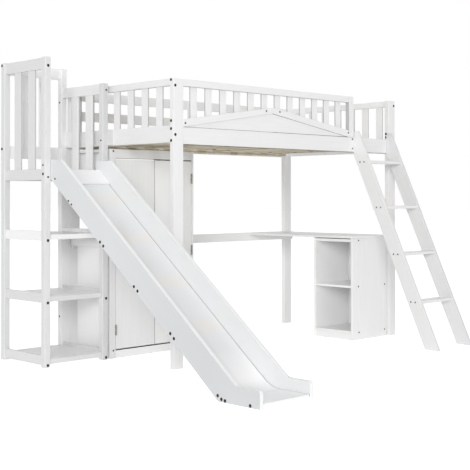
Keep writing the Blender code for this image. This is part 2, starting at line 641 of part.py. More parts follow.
def slide(parts, tools):
    """Two side boards, and the bent deck with its battens, head plate and kerb."""
    slope = SLIDE_SLOPE_RISE / SLIDE_SLOPE_RUN
    stretch = math.sqrt(1 + slope * slope)
    head_end = TOWER_FRONT + TOWER_POST
    head_start = TOWER_FRONT - SLIDE_HEAD_REACH
    drop = SLIDE_WIDTH * stretch
    foot_start = head_start - (SLIDE_HEAD_TOP - SLIDE_FOOT_TOP) / slope
    foot_end = foot_start - SLIDE_FOOT_LENGTH
    low_at_head = SLIDE_HEAD_TOP - drop
    floor_start = head_start - low_at_head / slope
    base_reach = head_start + (SLIDE_HEAD_BASE - low_at_head) / slope
    corner = SLIDE_CORNER
    points = [(floor_start, 0), (base_reach, SLIDE_HEAD_BASE), (head_end, SLIDE_HEAD_BASE)]
    points += [(head_end, SLIDE_HEAD_TOP)]
    turn = math.atan(slope)
    centre = (head_start + SLIDE_HEAD_CORNER * math.tan(turn / 2), SLIDE_HEAD_TOP - SLIDE_HEAD_CORNER)
    points += arc(centre, SLIDE_HEAD_CORNER, 90, 90 + math.degrees(turn), ARC_STEPS)
    points += [(foot_start, SLIDE_FOOT_TOP)]
    points += arc((foot_end + corner, SLIDE_FOOT_TOP - corner), corner, 90, 180, ARC_STEPS)
    points += [(foot_end, 0)]
    left = TOWER_LEFT + TOWER_POST + FIT
    right = TOWER_RIGHT - TOWER_POST - FIT
    made = profile("slide_side_left", points, left, left + SLIDE_SIDE_THICK, "X")
    finish(made, "paint", parts)
    made = profile("slide_side_right", points, right - SLIDE_SIDE_THICK, right, "X")
    finish(made, "paint", parts)
    deck_drop = SLIDE_DECK_DEPTH * stretch
    at_head = SLIDE_HEAD_TOP - deck_drop
    lip = head_start + (PLATFORM_TOP - at_head) / slope
    flat = SLIDE_FOOT_DECK
    bend_at = head_start - (at_head - flat) / slope
    tangent = SLIDE_BEND * math.tan(turn / 2)
    degrees = math.degrees(turn)
    centre = (bend_at - tangent, flat + SLIDE_BEND)
    bend = arc(centre, SLIDE_BEND, 270 + degrees, 270, BEND_STEPS)
    end = foot_end + SLIDE_DECK_SETBACK
    top = [(head_end - FIT, PLATFORM_TOP), (lip, PLATFORM_TOP)] + bend + [(end, flat)]
    thick = SLIDE_DECK_THICK
    outer = arc(centre, SLIDE_BEND + thick, 270, 270 + degrees, BEND_STEPS)
    lip_low = lip + thick * (stretch - 1) / slope
    head = [(lip_low, PLATFORM_TOP - thick), (head_end - FIT, PLATFORM_TOP - thick)]
    under = [(end, flat - thick)] + outer + head
    low_x = left + SLIDE_SIDE_THICK + FIT
    high_x = right - SLIDE_SIDE_THICK - FIT
    deck = profile("slide_deck", top + under, low_x, high_x, "X")
    sine = slope / stretch
    cosine = 1 / stretch
    rise = SLIDE_PLATE_THICK
    length = SLIDE_PLATE_LENGTH
    points = [
        (lip, PLATFORM_TOP - thick / 2),
        (lip - rise * stretch / slope, PLATFORM_TOP),
        (lip - length * cosine - rise * sine, PLATFORM_TOP - length * sine + rise * cosine),
        (lip - length * cosine + thick / 2 * sine, PLATFORM_TOP - length * sine - thick / 2 * cosine),
    ]
    pieces = [profile("slide_head_plate", points, low_x + EDGE / 2, high_x - EDGE / 2, "X")]
    low = (low_x + EDGE / 2, end + EDGE / 2, 0)
    high = (high_x - EDGE / 2, end + SLIDE_KERB_THICK, flat - thick / 2)
    pieces.append(box("slide_kerb", low, high, 0))
    for i in range(SLIDE_BATTEN_COUNT):
        along = SLIDE_BATTEN_FIRST + i * SLIDE_BATTEN_PITCH
        y = lip - along * cosine
        z = PLATFORM_TOP - along * sine
        lap = thick - SLIDE_BATTEN_LAP
        deep = thick + SLIDE_BATTEN_THICK
        wide = SLIDE_BATTEN_WIDTH
        points = [
            (y + lap * sine, z - lap * cosine),
            (y + deep * sine, z - deep * cosine),
            (y + deep * sine + wide * cosine, z - deep * cosine + wide * sine),
            (y + lap * sine + wide * cosine, z - lap * cosine + wide * sine),
        ]
        pieces.append(profile(f"slide_batten_{i + 1}", points, low_x + EDGE, high_x - EDGE, "X"))
    join(deck, pieces, tools)
    finish(deck, "deck", parts)


def ladder(parts):
    """Two stringers cut upright along the rail, and four treads."""
    lean = STRINGER_SLOPE_RUN / STRINGER_SLOPE_RISE
    stretch = math.sqrt(1 + lean * lean)
    wide = STRINGER_WIDTH * stretch
    back = RAIL_INSET - FIT
    meet = (back - STRINGER_FOOT) / lean
    tilt = math.degrees(math.atan(lean))
    toe = STRINGER_FOOT - wide
    nose = (back - toe - STRINGER_TOP * lean) / (1 + stretch - lean)
    points = [(STRINGER_FOOT, 0), (back, meet)]
    points += arc((back - nose, STRINGER_TOP - nose), nose, 0, 180 - tilt, 2 * ARC_STEPS)
    points += [(toe, 0)]
    right = LADDER_RIGHT
    made = profile("ladder_stringer_left", points, LADDER_LEFT, LADDER_LEFT + STRINGER_THICK, "X")
    finish(made, "paint", parts)
    made = profile("ladder_stringer_right", points, right - STRINGER_THICK, right, "X")
    finish(made, "paint", parts)
    low_x = LADDER_LEFT + STRINGER_THICK + FIT
    high_x = right - STRINGER_THICK - FIT
    for i in range(TREAD_COUNT):
        top = TREAD_FIRST + i * TREAD_SPACING
        behind = STRINGER_FOOT + (top - TREAD_THICK) * lean - TREAD_SETBACK
        low = (low_x, behind - wide + 2 * TREAD_SETBACK, top - TREAD_THICK)
        made = box(f"ladder_tread_{i + 1}", low, (high_x, behind, top), EDGE)
        finish(made, "paint", parts)


def wardrobe(parts, tools):
    """The carcass: open at the upper left and behind, closed below."""
    front = TOWER_FRONT
    back = front + WARDROBE_DEPTH
    inner_left = WARDROBE_LEFT + STILE_WIDTH
    inner_right = WARDROBE_RIGHT - PANEL
    behind = front + STILE_DEPTH + FIT
    top_base = WARDROBE_TOP - PANEL
    low = (WARDROBE_LEFT, front, 0)
    made = box("wardrobe_side_left", low, (inner_left, front + STILE_DEPTH, WARDROBE_TOP), EDGE)
    panel_right = inner_left - SIDE_PANEL_SETBACK
    tenon_start = front + STILE_DEPTH - SIDE_TENON
    low = (panel_right - PANEL, tenon_start, 0)
    pieces = [box("wardrobe_left_panel", low, (panel_right, back, SIDE_LOW_TOP), EDGE)]
    low = (panel_right - PANEL, tenon_start, WARDROBE_TOP - SIDE_HIGH_HEIGHT)
    pieces.append(box("wardrobe_left_high_panel", low, (panel_right, back, top_base - FIT), EDGE))
    rail_base = SIDE_LOW_TOP - SIDE_RAIL_HEIGHT
    low = (panel_right - PANEL - SIDE_RAIL_THICK, tenon_start + EDGE, rail_base)
    stretcher_front = BED_WIDTH - POST_DEPTH - FIT - STRETCHER_THICK
    high = (panel_right - PANEL / 2, stretcher_front - FIT, SIDE_LOW_TOP - SIDE_RAIL_DROP)
    pieces.append(box("wardrobe_left_rail", low, high, EDGE))
    join(made, pieces, tools)
    finish(made, "paint", parts)
    low = (inner_right, front, 0)
    finish(box("wardrobe_side_right", low, (WARDROBE_RIGHT, back, WARDROBE_TOP), EDGE), "paint", parts)
    left = inner_left + FIT
    right = inner_right - FIT
    low = (WARDROBE_LEFT, behind, top_base)
    finish(box("wardrobe_top", low, (right, back, WARDROBE_TOP), EDGE), "paint", parts)
    low = (left, front + FASCIA_INSET, FASCIA_BASE)
    finish(box("wardrobe_fascia", low, (right, behind - FIT, WARDROBE_TOP), EDGE), "paint", parts)
    low = (left, behind, BASE_TOP - PANEL)
    made = box("wardrobe_base", low, (right, back - BACK_PANEL - FIT, BASE_TOP), EDGE)
    low = (left, front + PLINTH_INSET, 0)
    pieces = [box("wardrobe_plinth", low, (right, behind + TENON, BASE_TOP - PANEL + PLINTH_LAP), EDGE)]
    low = (left, back - BACK_PANEL - FIT - PANEL, 0)
    pieces.append(box("wardrobe_back_plinth", low, (right, back - BACK_PANEL - FIT, BASE_TOP - TENON), EDGE))
    join(made, pieces, tools)
    finish(made, "paint", parts)
    low = (left, behind, WARDROBE_SHELF_TOP - PANEL)
    finish(box("wardrobe_shelf", low, (right, back, WARDROBE_SHELF_TOP), EDGE), "paint", parts)
    low = (left, back - BACK_PANEL, 0)
    finish(box("wardrobe_back", low, (right, back, WARDROBE_SHELF_TOP - PANEL - FIT), 0), "paint", parts)
    rail_z = top_base - HANGING_RAIL_DROP
    middle = (front + back) / 2
    ends = (left + HANGER_INSET, right - HANGER_INSET)
    low = (left, middle, rail_z)
    made = rod("wardrobe_hanging_rail", HANGING_RAIL_RADIUS, low, (right, middle, rail_z), HINGE_SIDES)
    pieces = []
    for i, x in enumerate(ends):
        low = (x, middle, rail_z)
        pieces.append(rod(f"hanger_{i + 1}", HANGER_RADIUS, low, (x, middle, top_base - FIT), HINGE_SIDES))
    join(made, pieces, tools)
    finish(made, "tube", parts)


def doors(parts, tools):
    """Two doors, each with three hinges on its outer edge."""
    front = TOWER_FRONT
    inner_left = WARDROBE_LEFT + STILE_WIDTH
    inner_right = WARDROBE_RIGHT - PANEL
    middle = (inner_left + inner_right) / 2
    top = FASCIA_BASE - DOOR_GAP
    lowest = DOOR_BASE + HINGE_BASE_CLEARANCE
    highest = top - HINGE_TOP_CLEARANCE
    spans = {
        "left": (inner_left + DOOR_GAP, middle - DOOR_GAP / 2, inner_left + DOOR_GAP / 2, 1),
        "right": (middle + DOOR_GAP / 2, inner_right - DOOR_GAP, inner_right - DOOR_GAP / 2, -1),
    }
    for side, (low_x, high_x, axis_x, inward) in spans.items():
        pivot = bpy.data.objects.new(f"door_{side}_pivot", None)
        pivot.location = (axis_x, front - HINGE_PROUD, 0)
        parts.objects.link(pivot)
        made = box(f"door_{side}", (low_x, front, DOOR_BASE), (high_x, front + PANEL, top), EDGE)
        swinging = []
        for i in range(HINGE_COUNT):
            z = lowest + (highest - lowest) * i / (HINGE_COUNT - 1)
            swinging += knuckle(f"door_{side}_knuckle_{i + 1}", axis_x, inward, z, 0, HINGE_LEAF_SINK)
            fixed = []
            for turn in (-1, 1):
                fixed += knuckle(f"hinge_{side}_{i + 1}_{turn + 2}", axis_x, -inward, z, turn, -FIT)
            low, high = leaf_span(axis_x, -inward, -FIT)
            low = (low[0], low[1], z - HINGE_LENGTH / 2)
            high = (high[0], high[1], z + HINGE_LENGTH / 2)
            plate = box(f"hinge_{side}_{i + 1}", low, high, 0)
            join(plate, fixed, tools)
            finish(plate, "hinge", parts)
        join(made, swinging, tools)
        hang(finish(made, "paint", parts), pivot)


def leaf_span(axis_x, inward, sink):
    """The flat of one leaf beside the barrel, seen from above."""
    near = axis_x + inward * (HINGE_RADIUS + FIT)
    xs = sorted([near, axis_x + inward * HINGE_LEAF_WIDTH])
    face = TOWER_FRONT + sink
    return (xs[0], face - HINGE_LEAF_THICK - sink), (xs[1], face)


def knuckle(name, axis_x, inward, middle, turn, sink):
    """A third of a barrel, below, at or above the middle, and the tab of its leaf."""
    third = HINGE_LENGTH / HINGE_KNUCKLES
    z = middle + turn * third
    half = third / 2 - FIT / 2
    axis_y = TOWER_FRONT - HINGE_PROUD
    barrel = rod(name, HINGE_RADIUS, (axis_x, axis_y, z - half), (axis_x, axis_y, z + half), HINGE_SIDES)
    leaf_low, leaf_high = leaf_span(axis_x, inward, sink)
    xs = sorted([axis_x, axis_x + inward * (HINGE_LEAF_WIDTH - HINGE_TAB_SETBACK)])
    low = (xs[0], leaf_low[1], z - half)
    high = (xs[1], leaf_high[1], z + half)
    return [barrel, box(name + "_tab", low, high, 0)]


def hang(made, pivot):
    """Parents a piece to the empty on its joint axis, without moving it."""
    made.parent = pivot
    made.location = [a - b for a, b in zip(made.location, pivot.location)]


def desk(parts, tools):
    """The desk top, the long stretcher and the cabinet."""
    right = DESK_RIGHT
    far = BED_WIDTH - POST_DEPTH - FIT
    stretcher_front = far - STRETCHER_THICK
    base = DESK_TOP - DESK_THICK
    low = (DESK_LEFT, DESK_FRONT, base)
    finish(box("desk_top", low, (right, stretcher_front - FIT, DESK_TOP), EDGE), "paint", parts)
    low = (STRETCHER_END, stretcher_front, STRETCHER_TOP - STRETCHER_HEIGHT)
    made = box("back_stretcher", low, (BED_LENGTH - STRETCHER_END, far, STRETCHER_TOP), EDGE)
    finish(made, "paint", parts)
    cabinet(base - FIT, parts, tools)


def cabinet(side_top, parts, tools):
    """An open cabinet that faces the wardrobe and carries the desk top on its sides."""
    near = CABINET_FRONT
    far = near + CABINET_DEPTH
    thick = CABINET_PANEL
    top = side_top - CABINET_TOP_DROP
    low = (CABINET_LEFT, near, 0)
    finish(box("cabinet_side_front", low, (CABINET_RIGHT, near + thick, side_top), EDGE), "paint", parts)
    low = (CABINET_LEFT, far - thick, 0)
    finish(box("cabinet_side_back", low, (CABINET_RIGHT, far, side_top), EDGE), "paint", parts)
    inner_near = near + thick + FIT
    inner_far = far - thick - FIT
    inner_right = CABINET_RIGHT - thick
    low = (inner_right, inner_near, 0)
    finish(box("cabinet_back", low, (CABINET_RIGHT - EDGE, inner_far, top), EDGE), "paint", parts)
    inner_right -= FIT
    low = (CABINET_LEFT, inner_near, top - thick)
    finish(box("cabinet_top", low, (inner_right, inner_far, top), EDGE), "paint", parts)
    low = (CABINET_LEFT + EDGE, inner_near, CABINET_SHELF_TOP - thick)
    finish(box("cabinet_shelf", low, (inner_right, inner_far, CABINET_SHELF_TOP), EDGE), "paint", parts)
    low = (CABINET_LEFT, inner_near, CABINET_BASE_TOP - thick)
    made = box("cabinet_base", low, (inner_right, inner_far, CABINET_BASE_TOP), EDGE)
    x = CABINET_LEFT + CABINET_PLINTH_INSET
    low = (x, inner_near, 0)
    plinth = box("cabinet_plinth", low, (x + thick, inner_far, CABINET_BASE_TOP - EDGE), EDGE)
    join(made, [plinth], tools)
    finish(made, "paint", parts)


def build():
    """Makes every piece of the bed."""
    clear_scene()
    parts = new_collection("loft_bed_with_slide")
    tools = new_collection("joined_shapes")
    bed_frame(parts, tools)
    guard_front(parts, tools)
    gable(parts)
    guard_end("guard_left", 0, 1, (LEFT_FRONT_MARGIN, LEFT_BACK_MARGIN), parts, tools)
    guard_end("guard_right", BED_LENGTH, -1, (RIGHT_FRONT_MARGIN, RIGHT_BACK_MARGIN), parts, tools)
    guard_back(parts, tools)
    tower(parts, tools)
    slide(parts, tools)
    ladder(parts)
    wardrobe(parts, tools)
    doors(parts, tools)
    desk(parts, tools)
    tools.hide_render = True
    stand = bpy.data.objects.new("front_left_foot", None)
    stand.location = (-POST_FACE / 2, -POST_DEPTH / 2, 0)
    parts.objects.link(stand)
    for made in list(parts.objects) + list(tools.objects):
        if made.parent is None and made is not stand:
            made.parent = stand


build()
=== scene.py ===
"""Looks of a high bed with a slide tower, wardrobe, desk, cabinet and ladder.

Most pieces stand for one or more solids of the frame; bolt heads and the dark
strips of painted shadow in the door gaps, along the gable's joints, under the
front rail and along the slide deck stand for none. Boards are closed surfaces
worked out with numpy: a rounded section carried along the grain, or a rounded
outline carried through the board's thickness. Lengths are in metres, laid out
from the outer corner of the front left bed post.
"""

import logging
import math
from collections.abc import Iterable, Sequence
from dataclasses import dataclass, field
from enum import Enum

import bpy
import numpy as np
from mathutils import Matrix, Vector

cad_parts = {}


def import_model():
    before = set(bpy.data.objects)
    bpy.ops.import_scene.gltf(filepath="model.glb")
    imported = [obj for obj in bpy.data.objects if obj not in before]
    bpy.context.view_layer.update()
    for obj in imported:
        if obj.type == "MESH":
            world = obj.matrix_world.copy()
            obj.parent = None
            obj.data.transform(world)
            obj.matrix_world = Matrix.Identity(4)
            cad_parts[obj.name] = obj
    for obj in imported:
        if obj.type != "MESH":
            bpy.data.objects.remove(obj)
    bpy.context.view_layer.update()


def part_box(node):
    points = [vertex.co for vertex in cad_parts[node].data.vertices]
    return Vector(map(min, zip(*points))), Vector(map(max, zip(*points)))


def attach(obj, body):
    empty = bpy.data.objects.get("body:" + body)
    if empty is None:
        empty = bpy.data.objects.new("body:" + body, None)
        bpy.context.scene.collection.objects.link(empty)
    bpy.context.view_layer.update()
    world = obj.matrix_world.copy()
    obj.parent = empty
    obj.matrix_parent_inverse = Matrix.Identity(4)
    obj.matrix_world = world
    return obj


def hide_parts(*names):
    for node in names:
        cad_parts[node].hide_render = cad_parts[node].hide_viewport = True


LOG = logging.getLogger("loft_bed")
FRAME_BODY = "frame"
CORNER = np.array([-0.037, -0.018, 0.0])
# Radii of the eased edges, from the posts to the thinnest strips.
POST_EDGE = 0.0035
SOFT_EDGE = 0.0030
THIN_EDGE = 0.0022
FINE_EDGE = 0.0012
GAP_EDGE = 0.0002
# Radii of the sawn corners of an outline.
SHARP = 0.002
CRISP = 0.003
# The gap at a seat, how deep a slat sits in its rail, and two small overlaps or insets.
SEAT = 0.0003
SLAT_SINK = 0.004
LAP = 0.001
HAIR = 0.0005
# Steps in each quarter turn of an eased edge, and a number that counts as nought.
RIM_STEPS = 3
TINY = 1e-6

Point = Sequence[float]
Colour = tuple[float, float, float, float]
Socket = bpy.types.NodeSocket


class Axis(Enum):
    """A direction of the frame."""

    X = 0
    Y = 1
    Z = 2

    @property
    def unit(self) -> np.ndarray:
        """The unit vector of this direction."""
        return np.eye(3)[self.value]


class Facing(Enum):
    """The outward direction of a face that carries a fitting."""

    LEFT = (-1.0, 0.0, 0.0)
    FRONT = (0.0, -1.0, 0.0)


@dataclass
class Surface:
    """A closed surface with the values that its finish reads.

    Attributes:
        points: Places of the vertices, one row each.
        normals: Outward directions at the vertices.
        faces: Vertex numbers of each face, counter-clockwise from outside.
        grain: Distance along and across the fibres, with the board's own offset.
        rim: How strongly an edge is rounded there, from zero on a flat to one.
    """

    points: np.ndarray
    normals: np.ndarray
    faces: list[tuple[int, ...]]
    grain: np.ndarray
    rim: np.ndarray


def grain_offset(seed: int) -> np.ndarray:
    """A board's own place in the wood, spread by the golden ratio.

    Args:
        seed: Number of the board.

    Returns:
        Three lengths that shift its pattern.
    """
    return np.array([7.31, 0.83, 0.57]) * ((seed * 0.6180339887) % 1.0 + 0.11) * 3.0


def quarter_steps(steps: int) -> np.ndarray:
    """Angles from nought to a right angle, in equal steps."""
    return np.linspace(0.0, math.pi / 2, steps + 1)


def ring_faces(rings: int, around: int, flip: bool) -> list[tuple[int, ...]]:
    """Quads between neighbouring rings and one face over each end.

    Args:
        rings: Number of rings.
        around: Number of points in each ring.
        flip: Whether the section runs clockwise.

    Returns:
        Vertex numbers of every face.
    """
    ring, step = np.meshgrid(np.arange(rings - 1), np.arange(around), indexing="ij")
    here = ring * around + step
    after = ring * around + (step + 1) % around
    quads = np.stack([here, after, after + around, here + around], axis=-1).reshape(-1, 4)
    first = np.arange(around)[::-1]
    last = np.arange(around) + (rings - 1) * around
    if flip:
        quads, first, last = quads[:, ::-1], first[::-1], last[::-1]
    return [tuple(q) for q in quads.tolist()] + [tuple(first.tolist()), tuple(last.tolist())]


def rim_rings(edge: float, depth: float, steps: int) -> tuple[np.ndarray, np.ndarray, np.ndarray]:
    """Rings that round both rims of a board.

    Ring t of the lower rim is drawn in by e(1 - sin t) and lies e(1 - cos t)
    above the face; the upper rim mirrors it.

    Args:
        edge: Radius e of the rim.
        depth: Distance between the two faces.
        steps: Steps in each quarter turn.

    Returns:
        How far each ring is drawn in, its height, and its angle from -90 to 90 degrees.
    """
    turn = quarter_steps(steps)
    drawn = edge * (1 - np.sin(turn))
    height = edge * (1 - np.cos(turn))
    lean = turn - math.pi / 2
    return (
        np.concatenate([drawn, drawn[::-1]]),
        np.concatenate([height, (depth - height)[::-1]]),
        np.concatenate([lean, -lean[::-1]]),
    )


def bent(lean: np.ndarray) -> np.ndarray:
    """Whether each ring lies on a rim, between the flat faces and the flanks."""
    return (np.abs(lean) > TINY) & (np.abs(lean) < math.pi / 2 - TINY)


def stacked(section: np.ndarray, heights: np.ndarray, axes: tuple[int, int, int]) -> np.ndarray:
    """Rings of a section, set one after the other along an axis.

    Args:
        section: First and second coordinate of every point of every ring.
        heights: Third coordinate of each ring.
        axes: The axis that each of the three coordinates lies on.

    Returns:
        One row for each point, ring by ring.
    """
    points = np.empty((len(heights), section.shape[1], 3))
    points[:, :, axes[0]] = section[:, :, 0]
    points[:, :, axes[1]] = section[:, :, 1]
    points[:, :, axes[2]] = heights[:, None]
    return points.reshape(-1, 3)


def rounded_board(
    low: Point, high: Point, edge: float = SOFT_EDGE, along: Axis | None = None, seed: int = 0
) -> Surface:
    """A sawn board with all its edges eased.

    The section is a rectangle with quarter-circle corners: corner centre plus
    (r - d) times the direction, where d is how far the ring is drawn in.

    Args:
        low: Lowest corner.
        high: Highest corner.
        edge: Radius of the eased edges.
        along: Direction of the fibres, the longest side unless given.
        seed: Number of the board, for its grain.

    Returns:
        The closed surface.
    """
    low, high = np.asarray(low, float), np.asarray(high, float)
    size = high - low
    run = int(np.argmax(size)) if along is None else along.value
    side, rise = (run + 1) % 3, (run + 2) % 3
    radius = min(edge, 0.42 * float(size.min()))
    drawn, height, lean = rim_rings(0.85 * radius, float(size[run]), RIM_STEPS)
    quarter = np.repeat(np.arange(4), RIM_STEPS + 1)
    step = np.tile(np.arange(RIM_STEPS + 1), 4)
    angle = (quarter + step / RIM_STEPS) * math.pi / 2
    middle = (quarter + 0.5) * math.pi / 2
    signs = np.stack([np.sign(np.cos(middle)), np.sign(np.sin(middle))], axis=1)
    half = np.array([size[side], size[rise]]) / 2
    direction = np.stack([np.cos(angle), np.sin(angle)], axis=1)
    section = signs * (half - radius) + (radius - drawn)[:, None, None] * direction
    axes = (side, rise, run)
    points = stacked(section + ((low + high) / 2)[[side, rise]], low[run] + height, axes)
    normals = stacked(np.cos(lean)[:, None, None] * direction, np.sin(lean), axes)
    flank = (np.abs(lean) < TINY)[:, None]
    worn = bent(lean)[:, None] | (flank & ((step > 0) & (step < RIM_STEPS))[None, :])
    grain = (points - (low + high) / 2)[:, [run, side, rise]] + grain_offset(seed)
    faces = ring_faces(len(drawn), len(angle), False)
    return Surface(points, normals, faces, grain, worn.reshape(-1).astype(float))


def rounded_outline(
    corners: np.ndarray, radii: np.ndarray, steps: int
) -> tuple[np.ndarray, np.ndarray, np.ndarray]:
    """An outline whose corners are arcs, with its outward directions.

    At each corner the arc of radius r touches both sides r tan(turn / 2) away
    from the corner, and the direction turns evenly from one side's to the next.

    Args:
        corners: Corners of the outline, counter-clockwise, one row each.
        radii: Radius at each corner.
        steps: Steps in each arc.

    Returns:
        Points, outward directions, and one inside an arc but zero at its ends.
    """
    before = corners - np.roll(corners, 1, axis=0)
    after = np.roll(corners, -1, axis=0) - corners
    before /= np.linalg.norm(before, axis=1, keepdims=True)
    after /= np.linalg.norm(after, axis=1, keepdims=True)
    turn = np.arctan2(before[:, 0] * after[:, 1] - before[:, 1] * after[:, 0], (before * after).sum(axis=1))
    reach = radii * np.tan(np.abs(turn) / 2)
    outward = np.stack([before[:, 1], -before[:, 0]], axis=1)
    bend = np.sign(turn)
    centre = corners - before * reach[:, None] - outward * (radii * bend)[:, None]
    share = np.linspace(0.0, 1.0, steps + 1)
    angle = np.arctan2(outward[:, 1], outward[:, 0])[:, None] + turn[:, None] * share
    direction = np.stack([np.cos(angle), np.sin(angle)], axis=-1)
    points = centre[:, None, :] + direction * (radii * bend)[:, None, None]
    inside = np.broadcast_to((share > 0) & (share < 1), angle.shape)
    return points.reshape(-1, 2), direction.reshape(-1, 2), inside.reshape(-1).astype(float)


def outline_board(
    corners: Iterable[tuple[float, float, float]],
    low: float,
    high: float,
    across: Axis,
    fibres: Point,
    edge: float = SOFT_EDGE,
    steps: int = 5,
    seed: int = 0,
) -> Surface:
    """A board cut to an outline, with both rims eased.

    Each ring is the outline moved inwards by d along its own outward direction.

    Args:
        corners: Along, up and corner radius of each corner.
        low: Lower face of the board across its thickness.
        high: Upper face of the board.
        across: Direction of the thickness, X or Y.
        fibres: Direction of the fibres in space.
        edge: Radius of the rims.
        steps: Steps in each corner arc.
        seed: Number of the board, for its grain.

    Returns:
        The closed surface.
    """
    table = np.array(list(corners), float)
    x, y = table[:, 0], table[:, 1]
    if (x * np.roll(y, -1) - y * np.roll(x, -1)).sum() < 0:
        table = table[::-1]
    edge = min(edge, 0.42 * (high - low))
    radii = np.maximum(table[:, 2], 1.5 * edge)
    outline, outward, inside = rounded_outline(table[:, :2], radii, steps)
    drawn, height, lean = rim_rings(edge, high - low, RIM_STEPS)
    axes = (1 if across is Axis.X else 0, 2, across.value)
    points = stacked(outline[None] - drawn[:, None, None] * outward[None], low + height, axes)
    normals = stacked(np.cos(lean)[:, None, None] * outward, np.sin(lean), axes)
    flank = (np.abs(lean) < TINY).astype(float)
    worn = np.maximum(bent(lean)[:, None].astype(float), flank[:, None] * inside[None, :] * 0.6)
    first = np.asarray(fibres, float) / np.linalg.norm(fibres)
    second = np.cross(across.unit, first)
    frame = np.stack([first, second, across.unit])
    grain = (points - points.mean(axis=0)) @ frame.T + grain_offset(seed)
    faces = ring_faces(len(drawn), len(outline), across is Axis.Y)
    return Surface(points, normals, faces, grain, worn.reshape(-1))


def turned(profile: Sequence[tuple[float, float]], centre: Point, outward: Point, sides: int) -> Surface:
    """A turned fitting: its profile carried round its own axis.

    A point at radius r and height h goes to centre + h a + r (cos t u + sin t v),
    where a is the axis and u and v are square to it.

    Args:
        profile: Radius and height of each ring, from the foot to the top.
        centre: Foot of the axis.
        outward: Direction of the axis.
        sides: Points round each ring.

    Returns:
        The closed surface.
    """
    rings = np.array(profile, float)
    axis = np.asarray(outward, float) / np.linalg.norm(outward)
    helper = np.array([0.0, 0.0, 1.0]) if abs(axis[2]) < 0.9 else np.array([1.0, 0.0, 0.0])
    first = np.cross(helper, axis)
    first /= np.linalg.norm(first)
    second = np.cross(axis, first)
    angle = np.arange(sides) * 2 * math.pi / sides
    spoke = np.cos(angle)[:, None] * first + np.sin(angle)[:, None] * second
    points = np.asarray(centre, float) + rings[:, 1, None, None] * axis + rings[:, 0, None, None] * spoke
    slope = np.gradient(rings, axis=0)
    normals = slope[:, 1, None, None] * spoke - slope[:, 0, None, None] * axis
    normals /= np.maximum(np.linalg.norm(normals, axis=-1, keepdims=True), 1e-9)
    flat = points.reshape(-1, 3)
    faces = ring_faces(len(rings), sides, False)
    return Surface(flat, normals.reshape(-1, 3), faces, flat.copy(), np.zeros(len(flat)))


def joined(surfaces: Sequence[Surface]) -> Surface:
    """Several closed surfaces as one mesh's worth of arrays.

    Args:
        surfaces: The surfaces, kept as separate shells.

    Returns:
        All of them, renumbered.
    """
    starts = np.cumsum([0] + [len(s.points) for s in surfaces])
    faces = [tuple(int(i + start) for i in face) for s, start in zip(surfaces, starts) for face in s.faces]
    return Surface(
        np.concatenate([s.points for s in surfaces]),
        np.concatenate([s.normals for s in surfaces]),
        faces,
        np.concatenate([s.grain for s in surfaces]),
        np.concatenate([s.rim for s in surfaces]),
    )


